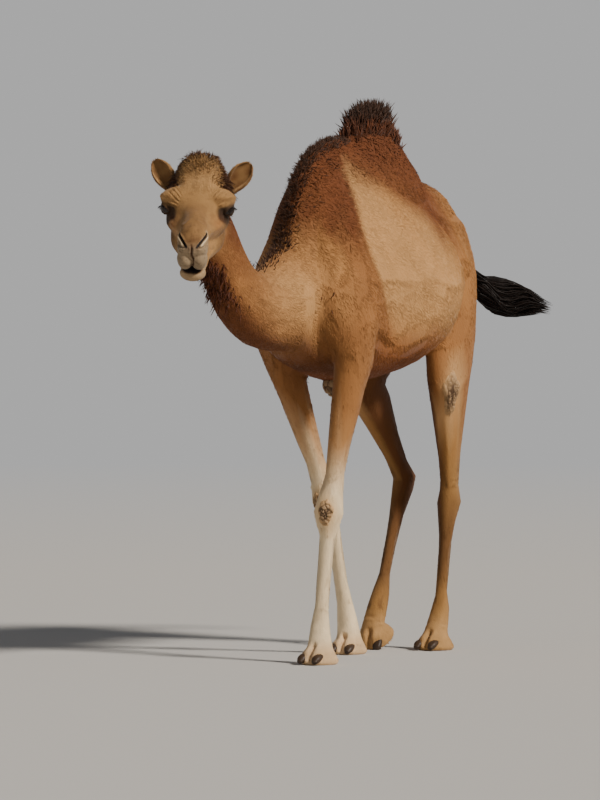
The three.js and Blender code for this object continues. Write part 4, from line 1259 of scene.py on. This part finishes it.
def tufts(roots, length, width, lift, swing=0.25, contrast=1.0, thick=0.25):
    # Flat leaves of hair, closed below. Lift is how high the tip stands, swing how far the tufts turn
    # from the lie of the coat.
    count = len(roots["at"])
    n, w, sink = roots["normal"], roots["flow"], leaf["sink"]
    s = np.cross(n, w)
    turn = chance.normal(0, swing, count)[:, None]
    w = unit(w * np.cos(turn) + s * np.sin(turn))
    s = np.cross(n, w)
    scale = chance.uniform(0.75, 1.25, count)[:, None]
    length, width, lift = (np.broadcast_to(v, count)[:, None] * scale for v in (length, width, lift))
    bend = s * length * chance.normal(0, 0.10, count)[:, None]
    root = roots["at"] - n * sink
    waist = root + w * length * leaf["waist"] + n * (sink + lift * leaf["waist"])
    tip = root + w * length + n * (sink + lift) + bend
    for part, low in zip((waist, tip), leaf["lowest"]):
        part[:, 2] = np.maximum(part[:, 2], low)
    ridge = waist + w * length * leaf["ridge"] + n * width * thick
    parts = np.stack([root, waist - s * width / 2, waist + s * width / 2, ridge, tip], 1)
    faces = (np.array(leaf["faces"])[None] + 5 * np.arange(count)[:, None, None]).reshape(-1, 3)
    uv = roots["uv"][:, None] + leaf["patch"] * (np.array(leaf["map"]) - np.array([0.5, 0]))[None]
    ends = 1 + contrast * (np.array(leaf["light"]) - 1)
    tone = chance.normal(1, 0.12 * contrast, count)[:, None, None] * ends[None, :, None]
    colours = roots["tint"][:, None] * np.clip(tone, 0.4, 1.6)
    return parts.reshape(-1, 3), faces, uv.reshape(-1, 2), colours.reshape(-1, 3)


def followed(path, roots, width, taper=0.75, tint=None):
    # Three-sided strands round paths (rings + 1, strands, 3), narrowing to a point at the last place.
    rings, count = len(path) - 1, path.shape[1]
    width = np.broadcast_to(width, count)[:, None]
    way = unit(path[-1] - path[0])
    side = unit(np.cross(way, chance.normal(size=(count, 3))))
    other = np.cross(way, side)
    circle = [(math.cos(a), math.sin(a)) for a in (0, 2.094, 4.189)]
    points = [path[k] + (side * c + other * s) * width / 2 * (1 - taper * (k / rings) ** 1.5)
              for k in range(rings) for c, s in circle]
    points = np.stack(points + [path[-1]], 1)
    faces = [(0, 2, 1)]
    for k in range(rings - 1):
        for i in range(3):
            a, b = 3 * k + i, 3 * k + (i + 1) % 3
            faces += [(a, b, b + 3), (a, b + 3, a + 3)]
    faces += [(3 * rings - 3 + i, 3 * rings - 3 + (i + 1) % 3, 3 * rings) for i in range(3)]
    faces = (np.array(faces)[None] + (3 * rings + 1) * np.arange(count)[:, None, None]).reshape(-1, 3)
    share = np.array([k / rings for k in range(rings) for _ in circle] + [1.0])
    local = np.stack([share - 0.5, np.array([s for _ in range(rings) for _, s in circle] + [0]) / 2], 1)
    uv = roots["uv"][:, None] + leaf["patch"] * local[None]
    base = roots["tint"] if tint is None else np.broadcast_to(tint, (count, 3))
    tone = chance.normal(1, 0.15, count)[:, None, None] * (0.75 + 0.4 * share)[None, :, None]
    colours = base[:, None] * np.clip(tone, 0.3, 1.7)
    return points.reshape(-1, 3), faces, uv.reshape(-1, 2), colours.reshape(-1, 3)


def locks(roots, way, length, width, rings=4, droop=0.0, curl=0.0, wave=0.0, tint=None):
    # Long hair that starts along its way, turns aside by curl, waves, and bends to the ground by droop.
    count = len(roots["at"])
    way = unit(way)
    length = np.broadcast_to(length, count)[:, None]
    side = unit(np.cross(way, chance.normal(size=(count, 3))))
    phase, drift = chance.uniform(0, 6.28, (count, 1)), chance.normal(0, curl, (count, 1))
    path, start = [], roots["at"] - way * 0.002
    for t in np.linspace(0, 1, rings + 1):
        bend = side * (drift * t * t + wave * np.sin(5 * t + phase) * t) * length
        path.append(start + way * length * t + bend - np.array([0, 0, droop]) * t * t * length)
    return followed(np.array(path), roots, width, tint=tint)


# materials
def addNode(tree, kind, values=None, **settings):
    # a shader node with its own settings and its inputs filled in
    node = tree.nodes.new(f"ShaderNode{kind}")
    for key, value in settings.items():
        setattr(node, key, value)
    fill(node, values or {})
    return node


def fill(node, values):
    for key, value in values.items():
        node.inputs[key].default_value = value


def wired(tree, *pairs):
    # links from (node, output) to (node, input)
    for (source, output), (target, socket) in pairs:
        tree.links.new(source.outputs[output], target.inputs[socket])


def surface(name, roughness, sheen, mottle, grain, stretch=(1, 1, 1), gloss=None):
    # The tint attribute, mottled by noise (its scale and strength), over a bump of finer noise (its
    # scale, strength and depth), which may be stretched along an axis.
    made = bpy.data.materials.new(name)
    made.use_nodes = True
    tree = made.node_tree
    shader = tree.nodes["Principled BSDF"]
    fill(shader, {"Roughness": roughness, "Sheen Weight": sheen, "Sheen Roughness": 0.4})
    fill(shader, {"Specular IOR Level": 0.3} | (gloss or {}))
    place, mapping = addNode(tree, "TexCoord"), addNode(tree, "Mapping", {"Scale": stretch})
    tintNode = addNode(tree, "Attribute", attribute_name="tint")
    patches = addNode(tree, "TexNoise", {"Scale": mottle[0], "Detail": 5})
    shade = addNode(tree, "MapRange", {"To Min": 1 - mottle[1], "To Max": 1 + mottle[1]})
    mixed = addNode(tree, "Mix", {"Factor": 1}, data_type="RGBA", blend_type="MULTIPLY")
    fine = addNode(tree, "TexNoise", {"Scale": grain[0], "Detail": 4})
    bump = addNode(tree, "Bump", {"Strength": grain[1], "Distance": grain[2]})
    wired(tree,
          ((place, "Object"), (mapping, "Vector")),
          ((mapping, "Vector"), (patches, "Vector")),
          ((patches, "Fac"), (shade, "Value")),
          ((tintNode, "Color"), (mixed, "A")),
          ((shade, "Result"), (mixed, "B")),
          ((mixed, "Result"), (shader, "Base Color")),
          ((mapping, "Vector"), (fine, "Vector")),
          ((fine, "Fac"), (bump, "Height")),
          ((bump, "Normal"), (shader, "Normal")))
    return made


# roughness, sheen, mottle, grain and stretch
shortFur = surface("short fur", 0.85, 0.12, (45, 0.12), (170, 0.6, 0.003), (1, 1, 0.45))
tuftFur = surface("coat tufts", 0.85, 0.05, (45, 0.15), (300, 0.2, 0.001))
longHair = surface("long hair", 0.6, 0.05, (30, 0.3), (400, 0.2, 0.001))
nailHorn = surface("nail horn", 0.45, 0, (50, 0.35), (90, 0.5, 0.002), (1, 1, 4))
hardSkin = surface("cracked callus", 0.7, 0, (70, 0.35), (140, 0.6, 0.003))
wetEye = surface("wet eye", 0.10, 0, (30, 0.1), (30, 0.0, 0.001),
                 gloss={"Coat Weight": 0.25, "Coat Roughness": 0.02})

skin.data.materials.append(shortFur)
skin.data.transform(Matrix.Translation(Vector(move)))
for polygon in skin.data.polygons:
    polygon.use_smooth = True
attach(skin, "root")
fleshNodes = ["trunk", "hump", "neck", "head", "lower_jaw", "ear_left", "ear_right", "tail"]
for leg in legJoints:
    upperParts = ("forearm",) if leg.startswith("fore") else ("thigh", "gaskin")
    fleshNodes += [f"{leg}_{part}" for part in (*upperParts, "cannon", "foot")]
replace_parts(skin, *fleshNodes)


# short coat: a size that is a pair is that of the short coat, and how much more it is in the wool
mostTufts = 32500  # in one piece
bareEye = (0.03, 0.03, 0.03)
x, y, z = points.T
left, ahead, rise = toHead(points).T
torso = np.clip(shares["body"] + shares["neck"] + shares["tail"], 0, 1) * (1 - shares["head"])
slim = shares["neck"] * ramp(z, 1.22, 1.34)
crown = shares["head"] * ramp(rise, 0.058, 0.080) * ramp(ahead, 0.05, -0.01) * (1 - shares["ears"])


def woolShare():
    # wool on the shoulder, along the top of the back and down the nape
    shoulderSide = ramp(y - lineX(z, rearShoulder), 0.06, -0.05)
    wool = torso * ramp(z + 0.03 * wander(points, 0.1, 8), 1.40, 1.56) * shoulderSide
    wool = np.maximum(wool, shares["body"] * ramp(z, 1.60, 1.72))
    return np.maximum(wool, 0.8 * shares["neck"] * ramp(z, 1.34, 1.5))


def bareShare():
    # no hair round the eyes, on the end of the muzzle, on the calluses and under the feet
    bare = np.zeros(len(points))
    for m in mirrors:
        bare = np.maximum(bare, blob(points, eyeAt[m], bareEye))
    bare = np.maximum(bare, 1.2 * shares["head"] * ramp(ahead, 0.20, 0.25))
    for plate in calluses.values():
        bare = np.maximum(bare, ramp(callusGap(points, plate), 1.30, 1.05))
    return np.clip(np.maximum(bare, ramp(z, 0.03, 0.012)), 0, 1)


def coatPieces(name, roots, slotName, length, width, lift, swing=0.25, contrast=1.0, thick=0.25):
    # as many pieces as the limit on their size asks for, from tail to head
    order = np.argsort(roots["at"][:, 1] + 0.35 * roots["at"][:, 2])
    parts = np.array_split(order, math.ceil(len(order) / mostTufts))
    for k, part in enumerate(parts):
        some = {key: value[part] for key, value in roots.items()}
        sizes = [np.broadcast_to(v, len(order))[part] for v in (length, width, lift, swing)]
        pieceName = f"{name}_{k + 1}" if len(parts) > 1 else name
        tuftPiece(pieceName, tufts(some, *sizes, contrast=contrast, thick=thick), tuftFur)
    print(name, len(order), "tufts in", len(parts))


def blended(pair, share):
    return pair[0] + pair[1] * share


bodyCoat = {"perArea": 30000, "length": (0.019, 0.006), "width": (0.0036, 0.0014), "lift": (0.0014, 0.0034),
            "swing": (0.22, 0.6), "contrast": 0.5, "thinnerWool": 0.25, "thickerNeck": 0.8, "finerNeck": 0.3}


def coatOnBody():
    size = bodyCoat
    thicker = 1 - size["thinnerWool"] * wool + size["thickerNeck"] * slim
    roots = sown(size["perArea"] * torso * thicker * (1 - bare))
    w = np.clip(valueAt(roots, wool * (1 - 0.6 * slim)), 0, 1)
    fine = 1 - size["finerNeck"] * np.clip(valueAt(roots, slim), 0, 1)
    sizes = [fine * blended(size[key], w) for key in ("length", "width", "lift")]
    coatPieces("coat_body", roots, "coat", *sizes, swing=blended(size["swing"], w), contrast=size["contrast"])


legCoat = {"perArea": 20000, "length": 0.012, "width": 0.0022, "lift": 0.0001, "contrast": 0.15,
           "thick": 0.10}


def coatOnLegs():
    size = legCoat
    roots = sown(size["perArea"] * (np.clip(shares["legs"], 0, 1) * (1 - torso) * (1 - bare)))
    coatPieces("coat_legs", roots, "pale_coat", size["length"], size["width"], size["lift"],
               contrast=size["contrast"], thick=size["thick"])


headCoat = {"perArea": 95000, "length": (0.0060, 0.009), "width": (0.0012, 0.0012), "lift": (0.0003, 0.0036),
            "swing": (0.25, 0.9), "contrast": 0.35, "thinnerCrown": 0.5}


def coatOnHead():
    size = headCoat
    roots = sown(size["perArea"] * shares["head"] * (1 - bare) * (1 - size["thinnerCrown"] * crown))
    c = valueAt(roots, crown)
    sizes = [blended(size[key], c) for key in ("length", "width", "lift", "swing")]
    coatPieces("coat_head", roots, "coat", *sizes, contrast=size["contrast"])


wool, bare = woolShare(), bareShare()
coatOnBody()
coatOnLegs()
coatOnHead()


# long hair
up = np.array([0, 0, 1.0])
toLeft = headTurn @ np.array([1.0, 0, 0])


def hairPiece(name, *bunches):
    # joins bunches of locks into one piece
    points, faces, uv, colours = zip(*bunches)
    base = np.cumsum([0] + [len(some) for some in points[:-1]])
    faces = np.vstack([some + first for some, first in zip(faces, base)])
    tuftMesh = (np.vstack(points), faces, np.vstack(uv), np.vstack(colours))
    print(name, len(faces), "faces")
    return tuftPiece(name, tuftMesh, longHair, smooth=True)


def scattered(roots, base, spread):
    return np.array(base) + chance.normal(0, 1, (len(roots["at"]), 3)) * spread


crestHair = {"perArea": 60000, "from": 1.832, "to": 1.862, "fullAt": 1.885, "length": 0.098, "width": 0.0062,
             "highest": 1.972, "lowEdge": (1.860, 1.838)}


def crestLocks():
    # upright locks on the hump, cut to one height, redder round their foot
    hair = crestHair
    uneven = z + 0.01 * wander(points, 0.05, 5)
    roots = sown(hair["perArea"] * shares["body"] * ramp(uneven, hair["from"], hair["to"]))
    height = roots["at"][:, 2]
    full = ramp(height, hair["from"] - 0.01, hair["fullAt"])
    way = unit(roots["normal"] * 0.30 + scattered(roots, up * 0.95, 0.22) + np.array([0, 0.08, 0]))
    length = np.minimum(hair["length"] * chance.uniform(0.55, 1.0, len(height)) * (0.55 + 0.45 * full),
                        (hair["highest"] - height) / np.maximum(way[:, 2], 0.3))
    low = 0.8 * ramp(height, *hair["lowEdge"])[:, None]
    shade = (shades["dark"] + shades["brown"] * 0.35) * (1 - low) + shades["darkRust"] * low
    return locks(roots, way, length, hair["width"], curl=0.16, wave=0.05, tint=shade)


mane = {"perArea": 75000, "length": 0.026, "width": 0.0038, "halfWidth": 0.016, "backFrom": (-0.16, -0.24)}


def maneLocks():
    # a fringe along the back before the hump, and down the nape
    ridge = shares["body"] * blob(points * np.array([1, 0, 0]), (0, 0, 0), (mane["halfWidth"], 1, 1))
    ridge *= ramp(normals[:, 2], -0.1, 0.2)
    ridge *= ramp(y, *mane["backFrom"])
    nape = shares["neck"] * ramp((normals * unit(np.array([0.0, 0.55, 0.8]))).sum(1), 0.94, 0.99)
    roots = sown(mane["perArea"] * np.clip(ridge + nape * (1 - shares["head"]), 0, 1))
    way = unit(roots["normal"] * 0.8 + roots["flow"] * 0.25 + scattered(roots, (0, 0.2, 0.2), 0.25))
    length = mane["length"] * chance.uniform(0.5, 1.1, len(way))
    return locks(roots, way, length, mane["width"], curl=0.25, wave=0.08, tint=shades["brown"] * 0.75)


forelock = {"perArea": 62000, "length": 0.034, "longer": 0.008, "width": 0.0036}


def crownLocks():
    # fans out from the crown, shorter, flatter and paler over the forehead
    aside = ramp(np.abs(left), 0.035, 0.060) * ramp(rise, 0.045, 0.07)
    top = shares["head"] * (1 - shares["ears"]) * np.maximum(ramp(rise, 0.085, 0.105), aside)
    roots = sown(forelock["perArea"] * (top * ramp(ahead, -0.035, -0.07)))
    local = toHead(roots["at"])
    length = forelock["length"] * chance.uniform(0.35, 1.0, len(local))
    length = length * (0.35 + 0.65 * ramp(local[:, 2], 0.08, 0.12))
    front = 0.95 * ramp(local[:, 1], -0.130, -0.095) * ramp(np.abs(local[:, 0]), 0.076, 0.055)
    length *= 1 - 0.4 * front
    way = roots["normal"] * (0.6 - 0.38 * front)[:, None] + up * (0.35 + 0.5 * front)[:, None]
    way = unit(scattered(roots, way, 0.20) + toLeft * (local[:, 0] / 0.10)[:, None])
    shade = shades["brown"] * (1 - front[:, None]) + shades["face"] * front[:, None]
    shade = shade * chance.uniform(0.6, 1.3, (len(way), 1))
    return locks(roots, way, length + forelock["longer"], forelock["width"], droop=0.15, curl=0.30, wave=0.08,
                 tint=shade)


cheekHair = {"perArea": 42000, "length": 0.028, "width": 0.0030}


def cheekLocks():
    # behind the ears and cheeks
    behind = shares["head"] * ramp(np.abs(left), 0.062, 0.085) * ramp(ahead, -0.040, -0.065)
    behind = behind * ramp(rise, -0.11, -0.07)
    roots = sown(cheekHair["perArea"] * (behind * (ramp(rise, 0.075, 0.045) * (1 - shares["ears"]))))
    outwards = np.sign(toHead(roots["at"])[:, :1]) * toLeft
    way = unit(roots["normal"] * 0.7 + outwards * 0.5 + scattered(roots, (0, 0.1, -0.25), 0.25))
    length = cheekHair["length"] * chance.uniform(0.5, 1.1, len(way))
    return locks(roots, way, length, cheekHair["width"], droop=0.25, curl=0.2, wave=0.06,
                 tint=shades["brown"] * 0.8)


throatHair = {"perArea": 19000, "length": 0.028, "width": 0.0042}


def throatLocks():
    # loose curls down the front of the neck
    front = shares["neck"] * ramp(-normals[:, 1] * 0.9 - normals[:, 2] * 0.4, 0.55, 0.85)
    roots = sown(throatHair["perArea"] * (front * ramp(z, 1.22, 1.28) * ramp(z, 1.42, 1.36)))
    way = unit(roots["normal"] * 0.7 + scattered(roots, (0, 0, -0.9), 0.3))
    length = throatHair["length"] * chance.uniform(0.5, 1.1, len(way))
    return locks(roots, way, length, throatHair["width"], droop=0.35, curl=0.35, wave=0.16,
                 tint=shades["throat"] * 0.9)


earRim = {"perArea": 60000, "length": 0.009, "width": 0.0012}


def earLocks():
    # short hair round the rims of the ears
    rim = shares["ears"] * ramp(np.abs(normals @ headTurn[:, 1]), 0.5, 0.2)
    roots = sown(earRim["perArea"] * rim)
    way = unit(roots["normal"] * 0.5 + roots["flow"] * 0.9 + scattered(roots, (0, 0, 0), 0.2))
    length = earRim["length"] * chance.uniform(0.5, 1.2, len(way))
    return locks(roots, way, length, earRim["width"], rings=3, curl=0.2)


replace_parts(hairPiece("crest_hair", crestLocks()), "hump_crest")
hairPiece("back_fringe", maneLocks())
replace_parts(hairPiece("forelock_hair", crownLocks()), "forelock")
hairPiece("cheek_and_throat_hair", cheekLocks(), throatLocks())
hairPiece("ear_fringe", earLocks())

# the tail brush: its locks' number, where they leave the tail, and how far past the brush they run
brush = {"perArea": 130000, "from": (0.700, 0.745), "width": 0.0075, "rings": 7, "past": 0.28, "last": 0.995,
         "start": (0.02, 0.12), "end": (0.25, 0.87), "sway": 0.35}


def brushLocks():
    # locks that leave the tail, follow the curve of the brush and fill its outline
    roots = sown(brush["perArea"] * shares["tail"] * ramp(y, *brush["from"]))
    count = len(roots["at"])
    turn, reach = chance.uniform(0, 2 * math.pi, count), np.sqrt(chance.random(count))
    first = chance.uniform(*brush["start"], count)
    final = brush["end"][0] + brush["end"][1] * chance.uniform(0.0, 1.0, count) ** 0.7
    path = [roots["at"]]
    for k in range(1, brush["rings"] + 1):
        t = first + (final - first) * k / brush["rings"]
        past, t = np.maximum(t - brush["last"], 0), np.clip(t, 0, brush["last"])
        wide, high = (spline(brushHalf, t) * np.minimum(0.35 + 1.6 * t, 1.0)[:, None]).T * reach
        bend = turn + brush["sway"] * np.sin(9 * t + 2 * turn)
        way = along(brushPath, t)
        across = unit(np.cross(way, up))
        over = np.cross(across, way)
        place = spline(brushPath, t) + way * (brush["past"] * past)[:, None]
        path.append(place + across * (wide * np.cos(bend))[:, None] + over * (high * np.sin(bend))[:, None])
    return followed(np.array(path), roots, brush["width"], tint=shades["dark"] * 0.8)


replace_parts(hairPiece("tail_hair", brushLocks()), "tail_brush")


# eyes: dark glossy balls with a wide pupil, and their lashes
def solidPiece(name, body, colours, material):
    mesh = meshOf(name, body["points"] + move, body["faces"])
    for polygon in mesh.polygons:
        polygon.use_smooth = True
    return carried(name, mesh, colours, material)


sideNames = {1: "left", -1: "right"}
# angles from the middle of the cornea, in radians; the pupil's half sizes are shares of the eye's radius
eyeLook = {"bulge": 0.0012, "cornea": (0.85, 0.35), "irisEdge": 0.80, "pupil": (0.42, 0.25),
           "iris": "24140a", "beyondIris": "120b07", "pupilColour": "050403"}
lash = {"count": 40, "length": 0.016, "width": 0.0014, "from": -62, "to": 50, "arch": (0.75, 0.12, 0.22)}


def eyeball(m):
    outward, forward, above = eyeAxes(m)
    eye = ball(eyeAt[m], (eyeRadius,) * 3, np.column_stack([forward, above, outward]), rings=(56, 44))
    way = unit(eye["points"] - eyeAt[m])
    off = np.arccos(np.clip(way @ outward, -1, 1))
    eye["points"] = eye["points"] + way * (eyeLook["bulge"] * ramp(off, *eyeLook["cornea"]))[:, None]
    spoke = np.arctan2(way @ above, way @ forward)
    iris = colour(eyeLook["iris"]) * (1 + 0.25 * np.sin(19 * spoke) * np.sin(7 * spoke + 2))[:, None]
    tone = np.where((off < eyeLook["irisEdge"])[:, None], iris, colour(eyeLook["beyondIris"]))
    wide, high = eyeLook["pupil"]
    inPupil = ((way @ forward) / wide) ** 2 + ((way @ above) / high) ** 2 < 1
    tone = np.where(inPupil[:, None], colour(eyeLook["pupilColour"]), tone)
    piece = solidPiece(f"eyeball_{sideNames[m]}", eye, tone, wetEye)
    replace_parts(piece, f"eye_{sideNames[m]}")


def lashLocks(m):
    # a row of lashes along the upper lid, drooping over the eye
    outward, forward, above = eyeAxes(m)
    spread = np.linspace(lash["from"], lash["to"], lash["count"])
    angle = np.radians(spread + chance.normal(0, 2, lash["count"]))
    wide, base, arch = lash["arch"]
    rim = outward * 0.9 + forward * (np.sin(angle) * wide)[:, None]
    rim = rim + above * (base + arch * np.cos(angle))[:, None]
    at = eyeAt[m] + unit(rim) * (eyeRadius + lidThick - 0.0005)
    near = [int(np.argmin(((points - p) ** 2).sum(1))) for p in at]
    roots = {"at": at, "uv": uvOfPoint[near], "tint": np.tile(shades["dark"], (len(at), 1))}
    fan = outward * 0.9 + forward * (np.sin(angle) * 0.4)[:, None] + above * -0.25
    length = lash["length"] * chance.uniform(0.7, 1.05, len(at))
    return locks(roots, fan, length, lash["width"], droop=0.45, curl=0.1)


lashes = []
for m in mirrors:
    eyeball(m)
    lashes.append(lashLocks(m))
hairPiece("eyelashes", *lashes)
print("eyes done")

# Nails, two to a foot, from the toe's top to its tip. Each row of sections: ahead in the foot, height,
# half width, depth above, depth below.
nails = {"aside": 0.029, "ripple": 0.0003, "rippleLength": 0.006, "lowest": 0.0012, "colour": "3b2c20",
         "sections": [(0.047, 0.033, 0.0140, 0.008, 0.008), (0.061, 0.027, 0.0165, 0.012, 0.010),
                      (0.075, 0.019, 0.0160, 0.013, 0.011), (0.087, 0.011, 0.0105, 0.009, 0.007)]}


def nailOn(leg, m):
    turn, foot = footFrame(leg)
    at = [foot + turn @ np.array([m * nails["aside"], -a, u]) for a, u, *_ in nails["sections"]]
    nail = limb(at, [s[2:] for s in nails["sections"]], side=turn[:, 0], sides=28, caps=(0.005, 0.005),
                square=2.4)
    ripple = np.sin((nail["points"] - foot) @ turn[:, 1] * 2 * math.pi / nails["rippleLength"])
    nail["points"][:, 2] = np.maximum(nail["points"][:, 2] + nails["ripple"] * ripple, nails["lowest"])
    tone = colour(nails["colour"]) * (0.8 + 0.5 * ramp(nail["points"][:, 2] - foot[2], 0.0, 0.04))[:, None]
    piece = solidPiece(f"nail_{leg}_{sideNames[m]}", nail, tone, nailHorn)
    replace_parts(piece, f"{leg}_claw_{sideNames[m]}")


for leg in legJoints:
    for m in mirrors:
        nailOn(leg, m)
print("nails done")


# calluses: thick cracked plates on the breast, knees and stifles
padLook = {"inside": (0.003, 0.003, 0.001), "cell": 0.021, "crack": 0.005}
plateLook = {"cell": 0.013, "crack": 0.005, "sides": 52, "rim": 0.8, "under": -0.006, "over": 0.0005,
             "top": np.linspace(0.04, 1, 18), "underside": np.linspace(0.97, 0.05, 5)}


def cracks(points, size, deep):
    # cells round seeded places: 0 in the middle of a plate, -deep along the cracks between plates
    low, high = points.min(0), points.max(0)
    number = int(np.clip(np.prod(np.sort(high - low)[1:]) / size**2, 12, 400))
    seeds = points[chance.integers(0, len(points), number)] + chance.normal(0, size * 0.2, (number, 3))
    gap = np.sort(np.linalg.norm(points[:, None] - seeds[None], axis=2), 1)
    edge = gap[:, 1] - gap[:, 0]
    return -deep * ramp(edge, 0.32 * size, 0.05 * size), ramp(edge, 0.25 * size, 0.05 * size)


def callusColours(crack):
    tone = shades["callus"] * chance.uniform(0.85, 1.1, (len(crack), 1))
    return tone * (1 - crack[:, None]) + shades["crack"] * crack[:, None]


def breastPad():
    # a flattened ball that fills the pad's solid
    half = (np.array(padHigh) - np.array(padLow)) / 2 - np.array(padLook["inside"])
    pad = ball((breastPadAt[0], breastPadAt[1], (padLow[2] + padHigh[2]) / 2), half, rings=(96, 60))
    drop, crack = cracks(pad["points"], padLook["cell"], padLook["crack"])
    pad["points"] = pad["points"] + unit(pad["points"] - pad["points"].mean(0)) * drop[:, None]
    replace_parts(solidPiece("breast_pad", pad, callusColours(crack), hardSkin), "chest_pad")


def callusPlate(name, plate):
    # A disc of rings laid on the skin, thick in the middle, whose edge and underside lie in the skin.
    centre, outward, half = np.array(plate["at"]), unit(np.array(plate["outward"], float)), plate["half"]
    across = unit(np.cross([0, 0, 1.0], outward))
    over, top, count = np.cross(outward, across), plateLook["top"], plateLook["sides"]
    reach = np.concatenate([top, plateLook["underside"]])
    under = np.full(len(plateLook["underside"]), plateLook["under"])
    lift = np.concatenate([plate["thick"] * (1 - top**4) + plateLook["over"], under])
    angle = 2 * math.pi * np.arange(count) / count
    edge = 1 + 0.07 * np.sin(3 * angle + 1) + 0.05 * np.sin(5 * angle)
    flat = across * half[0] * (np.cos(angle) * edge)[:, None]
    flat = flat + over * half[1] * (np.sin(angle) * edge)[:, None]
    rings = centre + flat[None] * reach[:, None, None] + outward * 0.01
    found = [skinTree.find_nearest(Vector(p + move)) for p in rings.reshape(-1, 3)]
    on, normal = np.array([f[0] for f in found]) - move, unit(np.array([f[1] for f in found]) + outward)
    rings = (on + normal * np.repeat(lift, count)[:, None]).reshape(rings.shape)
    made = tube(rings[:, ::-1])
    drop, crack = cracks(made["points"], plateLook["cell"], plateLook["crack"])
    made["points"] = made["points"] + outward * drop[:, None]
    rim = plateLook["rim"] * np.concatenate([[0], np.repeat(reach, count), [0]])[:, None] ** 3
    solidPiece(name, made, callusColours(crack) * (1 - rim) + shades["cream"] * rim, hardSkin)


breastPad()
skinTree = BVHTree.FromObject(skin, bpy.context.evaluated_depsgraph_get())
for name, plate in calluses.items():
    callusPlate(name, plate)
print("calluses done")

# camera, floor and light
view = {"azimuth": 27.0, "distance": 20.0, "height": 1.3, "aside": -0.2297, "aimHeight": 0.9007,
        "lens": 254.7, "sensor": 36}
studio = {"backdrop": (0.86, 0.86, 0.86), "zenith": (0.20, 0.21, 0.23), "glow": 0.55, "horizon": (0.08, 0.35),
          "floor": (0.55, 0.53, 0.50), "roughness": 0.9, "reach": 400.0, "near": 6.0, "far": 22.0}
keyLight = {"towards": (0.82, -0.16, 0.68), "energy": 4.4, "spread": 9, "colour": (1, 0.94, 0.86)}
fillLight = {"at": (-3, -9, 4), "aim": (0, 0, 1.0), "energy": 70, "size": 5, "colour": (0.95, 0.97, 1)}


def placeCamera():
    turn = math.radians(view["azimuth"])
    place = np.array([view["distance"] * math.sin(turn), -view["distance"] * math.cos(turn), view["height"]])
    aim = np.array([math.cos(turn) * view["aside"], math.sin(turn) * view["aside"], view["aimHeight"]])
    data = bpy.data.cameras.new("camera")
    data.sensor_width, data.lens, data.clip_end = view["sensor"], view["lens"], 1000
    camera = placed("camera", data)
    camera.location = Vector(place + move)
    camera.rotation_euler = Vector(aim - place).to_track_quat("-Z", "Y").to_euler()
    bpy.context.scene.camera = camera


def placeLights():
    # a low sun from the camel's left, and a soft light near the camera
    data = bpy.data.lights.new("key", "SUN")
    data.energy, data.color = keyLight["energy"], keyLight["colour"]
    data.angle = math.radians(keyLight["spread"])
    placed("key", data).rotation_euler = Vector(keyLight["towards"]).to_track_quat("Z", "Y").to_euler()
    data = bpy.data.lights.new("fill", "AREA")
    data.size, data.energy, data.color = fillLight["size"], fillLight["energy"], fillLight["colour"]
    light = placed("fill", data)
    light.location = fillLight["at"]
    light.rotation_euler = (Vector(fillLight["aim"]) - light.location).to_track_quat("-Z", "Y").to_euler()


def studioFloor():
    # a wide pale floor, which turns into the colour of the sky further out
    half = studio["reach"]
    corners = [(-half, -half, 0), (half, -half, 0), (half, half, 0), (-half, half, 0)]
    floor = placed("floor", meshOf("floor", corners, [(0, 1, 2, 3)]))
    made = bpy.data.materials.new("pale floor")
    made.use_nodes = True
    tree = made.node_tree
    shader = tree.nodes["Principled BSDF"]
    fill(shader, {"Base Color": (*studio["floor"], 1), "Roughness": studio["roughness"]})
    glow = addNode(tree, "Emission", {"Color": (*studio["backdrop"], 1), "Strength": studio["glow"]})
    place, far = addNode(tree, "TexCoord"), addNode(tree, "VectorMath", operation="LENGTH")
    share = addNode(tree, "MapRange", {"From Min": studio["near"], "From Max": studio["far"]})
    both = addNode(tree, "MixShader")
    wired(tree,
          ((place, "Object"), (far, 0)),
          ((far, "Value"), (share, "Value")),
          ((share, "Result"), (both, "Fac")),
          ((shader, "BSDF"), (both, 1)),
          ((glow, "Emission"), (both, 2)),
          ((both, "Shader"), (tree.nodes["Material Output"], "Surface")))
    floor.data.materials.append(made)


def studioSky():
    # pale at the horizon, dimmer overhead
    world = bpy.data.worlds.new("studio")
    world.use_nodes = True
    tree = world.node_tree
    low, high = studio["horizon"]
    place, axes = addNode(tree, "TexCoord"), addNode(tree, "SeparateXYZ")
    share = addNode(tree, "MapRange", {"From Min": low, "From Max": high})
    both = addNode(tree, "Mix", data_type="RGBA")
    fill(both, {"A": (*studio["backdrop"], 1), "B": (*studio["zenith"], 1)})
    background = tree.nodes["Background"]
    wired(tree,
          ((place, "Generated"), (axes, "Vector")),
          ((axes, "Z"), (share, "Value")),
          ((share, "Result"), (both, "Factor")),
          ((both, "Result"), (background, "Color")))
    fill(background, {"Strength": studio["glow"]})
    bpy.context.scene.world = world


placeCamera()
studioFloor()
placeLights()
studioSky()
print("studio done")
